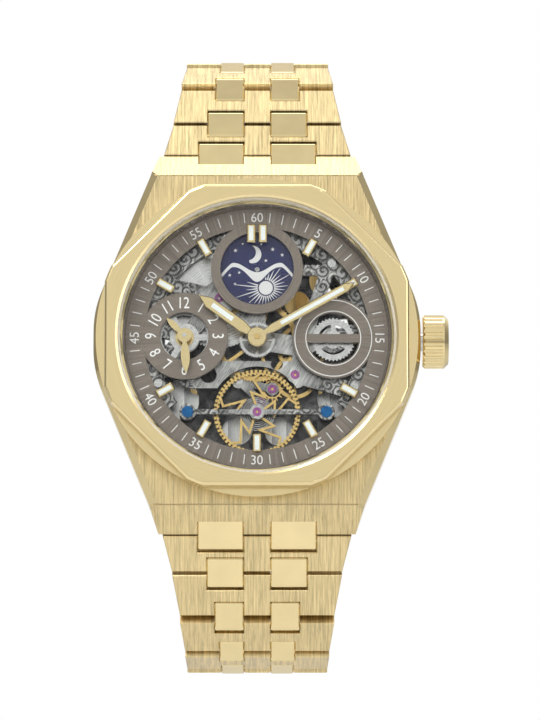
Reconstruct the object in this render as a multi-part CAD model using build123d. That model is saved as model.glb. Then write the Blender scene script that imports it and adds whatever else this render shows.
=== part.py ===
from build123d import *
import os
from math import atan2, cos, pi, radians, sin, tan

# Skeleton wristwatch with an integrated bracelet, in millimetres.
# It is drawn in the watch's own directions: x towards 3 o'clock, y towards 12 o'clock,
# z out of the dial, with z = 0 on the rest face of the case back. STAND_UP then turns it
# so that 12 o'clock points up (+Z) and the dial faces -Y.
STAND_UP = Rot(90, 0, 0)

# ---- case ----
CASE_WIDTH = 43.0
CASE_TOP_HALF = 21.9        # centre to the end of the flat brushed top, along 12-6
CASE_END_HALF = 25.3        # centre to the outer edge of the end slope
CASE_END_WIDTH = 25.2       # width of the case where the bracelet starts
CASE_SHOULDER_WIDTH = 28.2  # width where the flat top meets the end slope
CASE_FLANK = 8.0            # length of the straight stretch at 3 and 9 o'clock
CASE_FLANK_RADIUS = 14.0
CASE_BEVEL = 0.9
Z_UNDERSIDE = 0.8
Z_CASE_TOP = 7.25
Z_SLOPE_END = 2.9
MOVEMENT_BORE = 16.0

# ---- bezel, crystal and flange ring ----
BEZEL_RADIUS = 21.1
BEZEL_FLAT = 19.9           # centre to each of the eight flats
Z_LEDGE = 9.3
Z_BEZEL_TOP = 11.5
BEZEL_BORE = 17.6
BEZEL_EDGE = 0.45
BEZEL_INNER_SLOPE = 0.15
FLANGE_BOTTOM = 17.2
FLANGE_TOP = 17.45
CRYSTAL_RADIUS = 17.9
Z_CRYSTAL = 9.85
CRYSTAL_THICKNESS = 1.5
CRYSTAL_GASKET = 0.3

# ---- dial ----
DIAL_RADIUS = 17.5
DIAL_OPENING = 14.8
DIAL_THICKNESS = 0.6
TOP_DIAL = (0.0, 9.3)
TOP_DIAL_RADIUS = 6.04
TOP_DIAL_OPENING = 4.83
LEFT_DIAL = (-9.53, 0.3)
LEFT_DIAL_RADIUS = 5.75
LEFT_DIAL_OPENING = 3.17
RIGHT_DIAL = (10.0, 0.0)
RIGHT_DIAL_RADIUS = 5.33
RIGHT_DIAL_OPENING = 3.4
RIGHT_BAR_WIDTH = 1.1
MARKER_RADIUS = 13.9
MARKER_LENGTH = 2.4
MARKER_WIDTH = 1.1
MARKER_HEIGHT = 0.6
MARKER_HOURS = (1, 2, 4, 5, 6, 7, 8, 10, 11)
TWIN_MARKER_OFFSET = 0.78

# ---- hands ----
HOUR_HAND_LENGTH = 9.5
HOUR_HAND_WIDTH = 1.5
HOUR_HAND_ANGLE = 54.0      # anticlockwise from 12 o'clock
MINUTE_HAND_LENGTH = 14.7
MINUTE_HAND_WIDTH = 1.15
MINUTE_HAND_ANGLE = -60.8
HAND_HUB = 1.28
HAND_THICKNESS = 0.25
DUAL_HOUR_LENGTH = 3.3
DUAL_HOUR_ANGLE = 45.0
DUAL_MINUTE_LENGTH = 5.07
DUAL_MINUTE_ANGLE = 183.0
DUAL_HAND_HUB = 0.92
Z_DUAL_HOUR = 8.05
Z_DUAL_MINUTE = 8.4
Z_HOUR_HAND = 8.8
Z_MINUTE_HAND = 9.2

# ---- movement ----
MOVEMENT_RADIUS = 15.8
Z_PLATE = 3.0
PLATE_THICKNESS = 0.9
Z_BRIDGE = 5.5
BRIDGE_THICKNESS = 0.8
BRIDGE_RIM = 13.3           # inner radius of the bridges' outer rim
Z_PALLET_BRIDGE = 4.6
PALLET_BRIDGE_THICKNESS = 0.3
PIVOT_RADIUS = 0.15
ARBOR_RADIUS = 0.35
JEWEL_RADIUS = 0.6
JEWEL_THICKNESS = 0.5
RUNNING_FIT = 0.03
PRESS_FIT = 0.005
CENTRE_ARBOR = 0.375
HOUR_PIPE = 0.75
POST_RADIUS = 0.3

BARREL = (-5.0, 5.6)
BARREL_TEETH = 90
CENTRE_TEETH = 80
THIRD_TEETH = 75
FOURTH_TEETH = 70
PINION_LEAVES = 10
ESCAPE_LEAVES = 7
THIRD = (5.9, -0.9)
FOURTH = (5.0, -4.6)
ESCAPE = (2.0, -6.3)
PALLET = (0.55, -8.0)
PALLET_FOOT = (-2.4, -5.2)
BALANCE = (0.0, -9.6)
CENTRE = (0.0, 0.0)
BALANCE_RADIUS = 5.7
BALANCE_SCREW_X = 9.1
Z_BRIDGE_TOP = Z_BRIDGE + BRIDGE_THICKNESS
BRIDGE_WALL = 0.8
BOSS_RADIUS = 1.1
CENTRE_PINION = 0.95
TRAIN_PINION = 0.45
MESH_GAP = 0.05
END_SHAKE = 0.05
WHEEL_THICKNESS = 0.15
Z_CENTRE_WHEEL = 5.15
Z_THIRD_WHEEL = 4.5
Z_FOURTH_WHEEL = 4.15
Z_ESCAPE = 4.4
ESCAPE_RADIUS = 1.7
Z_BALANCE = 5.45
BALANCE_THICKNESS = 0.5
BALANCE_RIM = 0.5
Z_HAIRSPRING = 5.0
HAIRSPRING_RADIUS = 2.3
Z_MOTION = 6.4
DUAL_WHEEL_RADIUS = 3.9
DUAL_ARBOR = 0.25
DUAL_PIPE = 0.5
Z_BALANCE_BRIDGE = 6.4
BALANCE_CUP = 1.1
BLUED_HEAD = 0.75
SCREW_HEAD = 0.55
SCREW_SHANK = 0.3
BALANCE_BRIDGE_THICKNESS = 0.45

# ---- case back and rotor ----
CASE_BACK_RADIUS = 18.6
BACK_WINDOW = 12.5
BACK_CRYSTAL_RADIUS = 13.4
BACK_SCREW_CIRCLE = 17.4
BACK_SCREW_COUNT = 6
BACK_SCREW_RADIUS = 0.5
BACK_SCREW_HEAD = 0.9
BACK_SCREW_SINK = 0.45
BACK_SCREW_DEPTH = 2.6
BACK_SPIGOT_TOP = 1.5
BACK_CRYSTAL_SEAT = 0.6
BACK_GASKET = 16.3
GASKET_SECTION = 0.3
ROTOR_RADIUS = 15.2
ROTOR_RIM = 3.0
BEARING_RADIUS = 2.2
ROTOR_Z = 2.05

# ---- crown ----
Z_CROWN = 4.7
CROWN_RADIUS = 3.53
CROWN_GAP = 0.25            # case flank to the crown
CROWN_START = CASE_WIDTH / 2 + CROWN_GAP
CROWN_LENGTH = 3.4
CROWN_FLUTES = 24
TUBE_RADIUS = 1.2
TUBE_BORE = 0.5
TUBE_HOLE_EXCESS = 0.5       # its hole in the case is cut this far past both walls
STEM_RADIUS = 0.45
STEM_END = 10.2
STEM_GROOVE = 0.3
LEVER_X = 13.2
LEVER_THICKNESS = 0.3

# ---- bracelet ----
ROW_PITCH = 6.2
FIRST_ROW_PITCH = 5.2
ROW_THICKNESS = 2.8
ROW_GAP = 0.3
CASE_GAP = 0.14             # case end to row 1
ROW_EDGE = 0.12
ROW_RELIEF = 13.0           # degrees cut back below mid thickness, so that a row can curl
OUTER_SECTION = 4.6
CENTRE_SECTION = 3.6
CONNECTOR_WIDTHS = (6.0, 4.8, 3.8, 3.2, 3.0, 3.0, 3.0, 3.0, 3.0)
CONNECTOR_LENGTH = 4.2
CONNECTOR_ROUND = 1.1       # inner corners, which swing past the notch's end wall
CONNECTOR_CREST = 0.35      # outer corners
CONNECTOR_EDGE = 0.12
SIDE_CLEARANCE = 0.04
PIN_INSET = 1.1             # hinge pin to the row boundary
PIN_RADIUS = 0.45
PIN_RECESS = 0.5
NOTCH_DEPTH = 1.25          # hinge pin to the notch's end wall
CASE_CONNECTOR_HEADING = 22.0
ROW_HEADINGS = (26.0, 31.0, 57.0, 79.0, 98.0, 117.0, 135.0, 154.0)
CLASP_HEADING = 180.0

# ---- folding clasp ----
CLASP_PLATE = 0.75
CLASP_WALL = 0.9
CLASP_BLOCK = 2.8           # hinge pin to the inner end of each end block
CLASP_HINGE_INSET = 5.5     # row hinge to blade hinge
CLASP_AXIS_RISE = 0.2
CLASP_EYE = 0.75
CLASP_PIN = 0.4
MIDDLE_BLADE_HALF = 3.5
EAR_INNER = 3.65
LUG_OUTER = 5.0
ARM_INNER = 5.3
ARM_OUTER = 6.9
BLADE_THICKNESS = 0.9
BUTTON_LENGTH = 3.4
BUTTON_HEIGHT = 1.1
BUTTON_PROUD = 0.7
BUTTON_FLANGE = 0.35
CLASP_END_GAP = 0.3


# ---- shared shapes ----
def disc(radius, z0, z1, at=(0.0, 0.0)):
    """Round solid about z between two heights."""
    return Pos(at[0], at[1], (z0 + z1) / 2) * Cylinder(radius, z1 - z0)


def ring(outer, inner, z0, z1, at=(0.0, 0.0)):
    return disc(outer, z0, z1, at) - disc(inner, z0, z1, at)


def block(x0, x1, y0, y1, z0, z1):
    centre = Pos((x0 + x1) / 2, (y0 + y1) / 2, (z0 + z1) / 2)
    return centre * Box(x1 - x0, y1 - y0, z1 - z0)


def slab(sketch, z0, z1):
    """Extrude a flat sketch between two heights."""
    return extrude(Pos(0, 0, z0) * sketch, z1 - z0)


def cross_rod(radius, half_length, y=0.0, z=0.0):
    """Round rod along x."""
    return Pos(0, y, z) * Rot(0, 90, 0) * Cylinder(radius, 2 * half_length)


def polar(radius, degrees_from_x):
    angle = radians(degrees_from_x)
    return (radius * cos(angle), radius * sin(angle))


def outline(points):
    return make_face(Polyline(*points, close=True))


def spot(radius, at):
    return Pos(at[0], at[1]) * Circle(radius)


def arm(start, end, width):
    """Flat strip with round ends between two points."""
    return trace(Line(start, end), line_width=width) + spot(width / 2, start) + spot(width / 2, end)


def sector(inner, outer, start, stop):
    """Part of a flat ring between two angles, in degrees from 3 o'clock."""
    edge = 1.2 * outer
    steps = 8
    fan = [(0.0, 0.0)]
    for i in range(steps + 1):
        fan.append(polar(edge, start + (stop - start) * i / steps))
    return (Circle(outer) - Circle(inner)) & outline(fan)


def split(shape):
    return list(shape.solids())


# ---- case ----
def bracelet_width(boundary):
    return 2 * OUTER_SECTION + CENTRE_SECTION + 2 * CONNECTOR_WIDTHS[boundary]


def row_place(y, z, heading):
    """Frame of a row: y runs along the row, z out of its outer face, x across it."""
    return Pos(0, y, z) * Rot(-heading, 0, 0)


def first_pivot():
    """Hinge between the case's connectors and row 1."""
    heading = radians(CASE_CONNECTOR_HEADING)
    along = PIN_INSET + row_gap(0) / 2
    depth = ROW_THICKNESS / 2
    y = CASE_END_HALF + along * cos(heading) - depth * sin(heading)
    z = Z_SLOPE_END - along * sin(heading) - depth * cos(heading)
    return y, z


def row_pivots():
    """Hinge points of rows 1 to 8 and of the clasp, on the 12 o'clock side."""
    points = [first_pivot()]
    for index, heading in enumerate(ROW_HEADINGS):
        pitch = row_pitch(index)
        y, z = points[-1]
        points.append((y + pitch * cos(radians(heading)), z - pitch * sin(radians(heading))))
    return points


def row_gap(boundary):
    return CASE_GAP if boundary == 0 else ROW_GAP


def row_pitch(index):
    return FIRST_ROW_PITCH if index == 0 else ROW_PITCH


def notches(boundary, s0, s1, bottom, top):
    """The two slots that a pair of connectors lies in, from s0 to s1 along the row."""
    width = CONNECTOR_WIDTHS[boundary]
    inner = CENTRE_SECTION / 2 - SIDE_CLEARANCE
    outer = CENTRE_SECTION / 2 + width + SIDE_CLEARANCE
    return block(inner, outer, s0, s1, bottom, top) + block(-outer, -inner, s0, s1, bottom, top)


def connector_profile():
    """Side view of a connector, outer face up."""
    face = Rectangle(CONNECTOR_LENGTH, ROW_THICKNESS)
    face = fillet(face.vertices().filter_by(lambda v: v.Y > 0), CONNECTOR_CREST)
    inner = face.vertices().filter_by(lambda v: v.Y < 0.01 - ROW_THICKNESS / 2)
    return fillet(inner, CONNECTOR_ROUND)


def connectors(boundary):
    """A pair of polished connectors and the pin that fixes them, about the next hinge."""
    width = CONNECTOR_WIDTHS[boundary]
    body = extrude(Plane.YZ * Pos(-PIN_INSET, 0) * connector_profile(), width)
    ends = body.edges().group_by(Axis.X)
    body = chamfer(ends[0] + ends[-1], CONNECTOR_EDGE)
    body = body - cross_rod(PIN_RADIUS + RUNNING_FIT, 2 * width)
    body = body - cross_rod(PIN_RADIUS + PRESS_FIT, 2 * width, -2 * PIN_INSET)
    solids = []
    for start in (CENTRE_SECTION / 2, -CENTRE_SECTION / 2 - width):
        solids += split(Pos(start, 0, 0) * body)
    pin_half = bracelet_width(boundary) / 2 - PIN_RECESS
    solids += split(cross_rod(PIN_RADIUS, pin_half, -2 * PIN_INSET))
    return solids


def flank_radius():
    """Rounding of the flank corners, limited by the straight stretch between them."""
    turn = atan2((CASE_WIDTH - CASE_SHOULDER_WIDTH) / 2, CASE_TOP_HALF - CASE_FLANK / 2)
    return min(CASE_FLANK_RADIUS, 0.95 * CASE_FLANK / 2 / tan(turn / 2))


def case_blank():
    """Case body before it is bored: plan outline and end slopes."""
    half = CASE_WIDTH / 2
    corners = [(half, -CASE_FLANK / 2), (half, CASE_FLANK / 2)]
    right = corners + [(CASE_SHOULDER_WIDTH / 2, CASE_TOP_HALF), (CASE_END_WIDTH / 2, CASE_END_HALF + 1)]
    left = [(-x, y) for x, y in reversed(right[1:])]
    upper = right[1:] + left
    lower = [(-x, -y) for x, y in upper]
    plan = outline(upper + lower)
    flank = plan.vertices().filter_by(lambda v: abs(abs(v.X) - half) < 0.01)
    plan = fillet(flank, flank_radius())
    body = slab(plan, Z_UNDERSIDE, Z_CASE_TOP)
    heading = radians(CASE_CONNECTOR_HEADING)
    run = (Z_SLOPE_END - Z_UNDERSIDE) * sin(heading) / cos(heading)
    foot = CASE_END_HALF - run
    side = [(CASE_TOP_HALF, Z_CASE_TOP), (CASE_END_HALF, Z_SLOPE_END), (foot, Z_UNDERSIDE)]
    side += [(-y, z) for y, z in reversed(side)]
    body = body & extrude(Plane.YZ * outline(side), CASE_WIDTH, both=True)
    top = body.faces().filter_by(Axis.Z).sort_by(Axis.Z)[-1]
    flanks = top.edges().filter_by(lambda edge: abs(edge.center().X) > 1)
    return chamfer(flanks, CASE_BEVEL)


def both_ends(shape):
    """The same shape at the 12 and the 6 o'clock ends."""
    return [shape, Rot(0, 0, 180) * shape]


def end_place():
    y, z = first_pivot()
    return row_place(y, z, CASE_CONNECTOR_HEADING)


def mid_case():
    body = case_blank()
    body = body - disc(MOVEMENT_BORE, Z_UNDERSIDE, Z_CASE_TOP)
    body = body - gasket_groove()
    half = ROW_THICKNESS / 2
    slot = notches(0, -PIN_INSET - CONNECTOR_LENGTH / 2 - PRESS_FIT, PIN_INSET, -2 * half, 3 * half)
    pin_half = bracelet_width(0) / 2 - PIN_RECESS
    hole = cross_rod(PIN_RADIUS + PRESS_FIT, pin_half, -2 * PIN_INSET)
    for cut in both_ends(end_place() * (slot + hole)):
        body = body - cut
    hole_length = CROWN_START + TUBE_HOLE_EXCESS - MOVEMENT_BORE
    at_crown = Pos(MOVEMENT_BORE + hole_length / 2, 0, Z_CROWN) * Rot(0, 90, 0)
    body = body - at_crown * Cylinder(TUBE_RADIUS + PRESS_FIT, hole_length + 2 * TUBE_HOLE_EXCESS)
    for at in back_screw_points():
        body = body - disc(BACK_SCREW_RADIUS + PRESS_FIT, Z_UNDERSIDE, BACK_SCREW_DEPTH, at)
    solids = split(body)
    for end in both_ends(end_place() * Compound(connectors(0))):
        solids += split(end)
    return solids


def gasket_groove():
    return ring(BACK_GASKET + GASKET_SECTION, BACK_GASKET, Z_UNDERSIDE, Z_UNDERSIDE + GASKET_SECTION)


def bezel():
    """Round base with an eight-sided upper tier that leaves a crescent ledge at each flat."""
    body = disc(BEZEL_RADIUS, Z_CASE_TOP, Z_BEZEL_TOP)
    reach = BEZEL_RADIUS - BEZEL_FLAT + 1
    flat = Pos(BEZEL_FLAT + reach / 2, 0, (Z_LEDGE + Z_BEZEL_TOP) / 2)
    for i in range(8):
        body = body - Rot(0, 0, 45 * i) * flat * Box(reach, BEZEL_RADIUS * 2, Z_BEZEL_TOP - Z_LEDGE)
    top = body.faces().filter_by(Axis.Z).sort_by(Axis.Z)[-1]
    body = fillet(top.edges(), BEZEL_EDGE)
    body = body - disc(BEZEL_BORE, Z_CASE_TOP, Z_CRYSTAL)
    seat = CRYSTAL_RADIUS + CRYSTAL_GASKET
    body = body - disc(seat, Z_CRYSTAL, Z_BEZEL_TOP)
    slope = BEZEL_INNER_SLOPE
    body = body - Pos(0, 0, Z_BEZEL_TOP - slope / 2) * Cone(seat, seat + 2 * slope, slope)
    return split(body)


def crystal():
    body = disc(CRYSTAL_RADIUS, Z_CRYSTAL, Z_CRYSTAL + CRYSTAL_THICKNESS)
    top = body.edges().sort_by(Axis.Z)[-1]
    return split(chamfer(top, 0.3))


def gaskets():
    """Crystal gasket and case back gasket."""
    upper = ring(CRYSTAL_RADIUS + CRYSTAL_GASKET, CRYSTAL_RADIUS, Z_CRYSTAL, Z_CRYSTAL + 1.0)
    return split(upper) + split(gasket_groove())


def flange_ring():
    """Sloped inner ring between the dial and the crystal."""
    z0 = Z_CASE_TOP + DIAL_THICKNESS
    height = Z_CRYSTAL - z0
    body = disc(BEZEL_BORE - SIDE_CLEARANCE, z0, Z_CRYSTAL)
    bore = Cone(FLANGE_BOTTOM, FLANGE_TOP, height)
    return split(body - Pos(0, 0, z0 + height / 2) * bore)


def crown_tube():
    start = MOVEMENT_BORE + 0.2
    length = CROWN_START + 1.2 - start
    tube = Cylinder(TUBE_RADIUS, length) - Cylinder(TUBE_BORE, length)
    return split(Pos(start + length / 2, 0, Z_CROWN) * Rot(0, 90, 0) * tube)


# ---- case back ----
def back_screw_points():
    return [polar(BACK_SCREW_CIRCLE, 30 + 360 * i / BACK_SCREW_COUNT) for i in range(BACK_SCREW_COUNT)]


def case_back():
    body = disc(CASE_BACK_RADIUS, 0, Z_UNDERSIDE)
    body = chamfer(body.edges().sort_by(Axis.Z)[0], 0.35)
    body = body + disc(MOVEMENT_BORE - 0.05, Z_UNDERSIDE, BACK_SPIGOT_TOP)
    body = body - disc(BACK_WINDOW, 0, BACK_SPIGOT_TOP)
    body = body - disc(BACK_CRYSTAL_RADIUS, BACK_CRYSTAL_SEAT, BACK_SPIGOT_TOP)
    for at in back_screw_points():
        body = body - disc(BACK_SCREW_HEAD + 0.02, 0, BACK_SCREW_SINK, at)
        body = body - disc(BACK_SCREW_RADIUS + 0.02, 0, Z_UNDERSIDE, at)
    return split(body)


def case_back_crystal():
    """Stepped window, flush with the rest face."""
    body = disc(BACK_CRYSTAL_RADIUS - 0.01, BACK_CRYSTAL_SEAT, BACK_SPIGOT_TOP - 0.05)
    return split(body + disc(BACK_WINDOW - 0.01, 0, BACK_CRYSTAL_SEAT))


def slotted_screw(head, shank, z_tip, z_seat, z_top, at, turn=0.0):
    """Screw with its slot in the face at z_top, which may be above or below its tip."""
    low, high = sorted((z_seat, z_top))
    body = disc(head, low, high, at)
    low, high = sorted((z_tip, z_seat))
    body = body + disc(shank, low, high, at)
    depth = 0.4 * abs(z_top - z_seat)
    slot = Rot(0, 0, turn) * Box(3 * head, 0.25 * head, 2 * depth)
    return body - Pos(at[0], at[1], z_top) * slot


def case_back_screws():
    solids = []
    for i, at in enumerate(back_screw_points()):
        solids += split(slotted_screw(BACK_SCREW_HEAD, BACK_SCREW_RADIUS, BACK_SCREW_DEPTH - 0.1,
                                      BACK_SCREW_SINK, 0.05, at, 40 * i))
    return solids


# ---- dial ----
def dial():
    face = Circle(DIAL_RADIUS) - Circle(DIAL_OPENING)
    for at, radius in ((TOP_DIAL, TOP_DIAL_RADIUS), (LEFT_DIAL, LEFT_DIAL_RADIUS),
                       (RIGHT_DIAL, RIGHT_DIAL_RADIUS)):
        face = face + spot(radius, at)
    face = face & Circle(DIAL_RADIUS)
    face = face - spot(TOP_DIAL_OPENING, TOP_DIAL)
    face = face - spot(LEFT_DIAL_OPENING, LEFT_DIAL)
    face = face - spot(RIGHT_DIAL_OPENING, RIGHT_DIAL)
    face = face + Pos(*RIGHT_DIAL) * Rectangle(2 * RIGHT_DIAL_OPENING + 0.6, RIGHT_BAR_WIDTH)
    return split(slab(face, Z_CASE_TOP, Z_CASE_TOP + DIAL_THICKNESS))


def marker(x, length, degrees_clockwise):
    """Gold frame with a pale insert, standing on the minute ring."""
    z0 = Z_CASE_TOP + DIAL_THICKNESS
    frame = block(x - MARKER_WIDTH / 2, x + MARKER_WIDTH / 2, MARKER_RADIUS - length / 2,
                  MARKER_RADIUS + length / 2, z0, z0 + MARKER_HEIGHT)
    frame = chamfer(frame.faces().sort_by(Axis.Z)[-1].edges(), 0.1)
    wall = 0.27
    insert = block(x - MARKER_WIDTH / 2 + wall, x + MARKER_WIDTH / 2 - wall,
                   MARKER_RADIUS - length / 2 + wall, MARKER_RADIUS + length / 2 - wall,
                   z0 + MARKER_HEIGHT / 2, z0 + MARKER_HEIGHT)
    place = Rot(0, 0, -degrees_clockwise)
    return split(place * (frame - insert)) + split(place * insert)


def hour_markers():
    solids = []
    for hour in MARKER_HOURS:
        solids += marker(0.0, MARKER_LENGTH, 30 * hour)
    for side in (-1, 1):
        solids += marker(side * TWIN_MARKER_OFFSET, MARKER_LENGTH, 0)
    return solids


# ---- hands ----
def baton_hand(length, width, hub, bore, z0, thickness, angle):
    """Baton hand with a chisel tip and a pale inlay, pointing anticlockwise from 12 by an angle."""
    neck = hub * 1.9
    narrow = width * 0.32
    tip = length - width * 1.1
    half = width / 2
    shape = outline([(-narrow, 0), (-narrow, hub), (-half, neck), (-half, tip), (0, length),
                     (half, tip), (half, neck), (narrow, hub), (narrow, 0)])
    shape = shape + Circle(hub)
    body = slab(shape, z0, z0 + thickness)
    top = body.faces().filter_by(Axis.Z).sort_by(Axis.Z)[-1]
    body = chamfer(top.edges(), thickness * 0.4)
    inlay_half = half * 0.42
    inlay = block(-inlay_half, inlay_half, neck + width, tip - 0.4 * width, z0, z0 + thickness)
    body = body - inlay - disc(bore, z0, z0 + thickness)
    place = Rot(0, 0, angle)
    return split(place * body) + split(place * inlay)


def leaf_hand(at, length, hub, bore, z0, thickness, angle):
    """Small leaf-shaped hand of a sub-dial."""
    belly = length * 0.62
    half = length * 0.09 + 0.12
    stem = 0.16
    right = Spline((stem, hub * 0.8), (half, belly), (0, length))
    left = Spline((0, length), (-half, belly), (-stem, hub * 0.8))
    leaf = make_face(Wire([right, left, Line((-stem, hub * 0.8), (stem, hub * 0.8))]))
    body = slab(leaf + Circle(hub), z0, z0 + thickness)
    body = body - disc(bore, z0, z0 + thickness)
    return split(Pos(at[0], at[1]) * Rot(0, 0, angle) * body)


# ---- wheels ----
def distance(a, b):
    return ((a[0] - b[0]) ** 2 + (a[1] - b[1]) ** 2) ** 0.5


def tip_radius(wheel_at, pinion_at, pinion_radius):
    """Wheel radius that reaches a pinion and leaves the mesh gap."""
    return distance(wheel_at, pinion_at) - pinion_radius - MESH_GAP


def toothed(teeth, tip):
    """Toothed disc whose tooth depth follows its pitch."""
    depth = 2.2 * tip / teeth
    root = tip - depth
    points = []
    for i in range(teeth):
        for share, radius in ((-0.27, root), (-0.11, tip), (0.11, tip), (0.27, root)):
            points.append(polar(radius, 360 * (i + share) / teeth))
    return outline(points)


def spoked(teeth, tip, rim, hub, spokes, spoke_width):
    """Toothed wheel with straight spokes."""
    window = Circle(rim) - Circle(hub)
    for i in range(spokes):
        window = window - Rot(0, 0, 360 * i / spokes) * Pos(tip / 2, 0) * Rectangle(tip, spoke_width)
    return toothed(teeth, tip) - window


def shouldered_arbor(at, z_top_shoulder, z_top_pivot, radius=ARBOR_RADIUS):
    """Arbor that runs between its lower jewel and an upper jewel."""
    z_shoulder = Z_PLATE + PLATE_THICKNESS + END_SHAKE
    body = disc(PIVOT_RADIUS, z_shoulder - JEWEL_THICKNESS, z_shoulder, at)
    body = body + disc(radius, z_shoulder, z_top_shoulder, at)
    return body + disc(PIVOT_RADIUS, z_top_shoulder, z_top_pivot, at)


def placed(sketch, at, z0, z1):
    return slab(Pos(at[0], at[1]) * sketch, z0, z1)


def barrel():
    z0 = Z_PLATE + PLATE_THICKNESS + 0.25
    z1 = Z_CENTRE_WHEEL - END_SHAKE
    tip = tip_radius(BARREL, CENTRE, CENTRE_PINION)
    drum = placed(toothed(BARREL_TEETH, tip), BARREL, z1 - 0.35, z1)
    drum = drum + disc(tip - 0.5, z0, z1, BARREL)
    drum = drum - ring(tip - 1.1, 2.2, z1 - 0.12, z1, BARREL)
    top = Z_BRIDGE - END_SHAKE
    return split(drum + shouldered_arbor(BARREL, top, Z_BRIDGE_TOP - 0.1, 0.8))


def center_wheel():
    tip = tip_radius(CENTRE, THIRD, TRAIN_PINION)
    wheel = placed(spoked(CENTRE_TEETH, tip, tip - 0.75, 1.1, 5, 0.45), CENTRE, Z_CENTRE_WHEEL,
                   Z_CENTRE_WHEEL + WHEEL_THICKNESS)
    z_shoulder = Z_PLATE + PLATE_THICKNESS + END_SHAKE
    arbor = disc(PIVOT_RADIUS, z_shoulder - JEWEL_THICKNESS, z_shoulder)
    arbor = arbor + disc(CENTRE_ARBOR, z_shoulder, Z_MINUTE_HAND + HAND_THICKNESS + 0.15)
    pinion = placed(toothed(12, CENTRE_PINION), CENTRE, z_shoulder + 0.2, Z_CENTRE_WHEEL)
    return split(wheel + arbor + pinion)


def train_wheel(at, teeth, tip, z0, pinion_z0, pinion_z1, z_top, z_pivot):
    wheel = placed(spoked(teeth, tip, tip - 0.55, 0.75, 4, 0.32), at, z0, z0 + WHEEL_THICKNESS)
    pinion = placed(toothed(PINION_LEAVES, TRAIN_PINION), at, pinion_z0, pinion_z1)
    return split(wheel + pinion + shouldered_arbor(at, z_top, z_pivot))


def third_wheel():
    tip = tip_radius(THIRD, FOURTH, TRAIN_PINION)
    top = Z_BRIDGE - END_SHAKE
    return train_wheel(THIRD, THIRD_TEETH, tip, Z_THIRD_WHEEL, Z_CENTRE_WHEEL - 0.2, top, top, Z_BRIDGE_TOP - 0.1)


def fourth_wheel():
    tip = tip_radius(FOURTH, ESCAPE, TRAIN_PINION)
    top = Z_BRIDGE - END_SHAKE
    return train_wheel(FOURTH, FOURTH_TEETH, tip, Z_FOURTH_WHEEL, Z_THIRD_WHEEL - 0.1, Z_THIRD_WHEEL + 0.3, top,
                       Z_BRIDGE_TOP - 0.1)


def escape_wheel():
    """Fifteen hooked teeth, four spokes and a pinion below."""
    points = []
    for i in range(15):
        points.append(polar(ESCAPE_RADIUS * 0.72, 24 * i))
        points.append(polar(ESCAPE_RADIUS, 24 * i + 7))
        points.append(polar(ESCAPE_RADIUS * 0.97, 24 * i + 9))
        points.append(polar(ESCAPE_RADIUS * 0.72, 24 * i + 11))
    window = Circle(ESCAPE_RADIUS * 0.6) - Circle(0.5)
    for i in range(4):
        window = window - Rot(0, 0, 90 * i) * Pos(ESCAPE_RADIUS / 2, 0) * Rectangle(ESCAPE_RADIUS, 0.22)
    wheel = placed(outline(points) - window, ESCAPE, Z_ESCAPE, Z_ESCAPE + 0.1)
    pinion = placed(toothed(ESCAPE_LEAVES, TRAIN_PINION), ESCAPE, Z_FOURTH_WHEEL - 0.05, Z_ESCAPE)
    arbor = shouldered_arbor(ESCAPE, Z_PALLET_BRIDGE - END_SHAKE, Z_PALLET_BRIDGE + PALLET_BRIDGE_THICKNESS - 0.05, 0.2)
    return split(wheel + pinion + arbor)


def pallet_fork():
    """Anchor with two pallets towards the escape wheel and a lever towards the balance."""
    reach = distance(PALLET, BALANCE) - 0.65
    shape = arm((0, 0), (0, -reach), 0.25) + Circle(0.34)
    shape = shape + arm((-1.1, 0.1), (1.1, 0.1), 0.28)
    for side in (-1, 1):
        shape = shape + arm((side * 1.1, 0.1), (side * 1.15, 0.5), 0.26)
    turn = 180 / pi * atan2(ESCAPE[1] - PALLET[1], ESCAPE[0] - PALLET[0]) - 90
    body = placed(Rot(0, 0, turn) * shape, PALLET, Z_ESCAPE, Z_ESCAPE + 0.1)
    arbor = shouldered_arbor(PALLET, Z_PALLET_BRIDGE - END_SHAKE, Z_PALLET_BRIDGE + PALLET_BRIDGE_THICKNESS - 0.05, 0.18)
    return split(body + arbor)


def balance_wheel():
    """Rim with a toothed inner edge, five zigzag arms and the staff."""
    rim = Circle(BALANCE_RADIUS) - toothed(60, BALANCE_RADIUS - BALANCE_RIM)
    shape = rim + Circle(0.85)
    outer = BALANCE_RADIUS - BALANCE_RIM + 0.15
    for i in range(5):
        turn = Rot(0, 0, 72 * i + 18)
        zigzag = Polyline((0.6, 0), (2.7, 0.75), (2.1, -1.0), (4.5, 0.55), (outer, -0.6))
        shape = shape + turn * trace(zigzag, line_width=0.3)
    body = placed(shape, BALANCE, Z_BALANCE, Z_BALANCE + BALANCE_THICKNESS)
    for i in range(10):
        bead = polar(BALANCE_RADIUS - 0.25, 36 * i + 18)
        at = (BALANCE[0] + bead[0], BALANCE[1] + bead[1])
        body = body + disc(0.22, Z_BALANCE, Z_BALANCE + BALANCE_THICKNESS + 0.1, at)
    staff = shouldered_arbor(BALANCE, Z_BALANCE_BRIDGE - END_SHAKE, Z_BALANCE_BRIDGE + BALANCE_BRIDGE_THICKNESS - 0.1)
    return split(body + staff)


def hairspring():
    """Flat spiral on a collet that grips the balance staff."""
    turns = 6
    steps = 30 * turns
    start = 0.75
    step = (HAIRSPRING_RADIUS - start) / steps
    outer = []
    inner = []
    for i in range(steps + 1):
        radius = start + step * i
        outer.append(polar(radius + 0.04, 12 * i))
        inner.append(polar(radius - 0.04, 12 * i))
    spiral = outline(outer + inner[::-1])
    collet = Circle(0.78) - Circle(ARBOR_RADIUS + PRESS_FIT)
    return split(placed(spiral + collet, BALANCE, Z_HAIRSPRING, Z_HAIRSPRING + 0.2))


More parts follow.
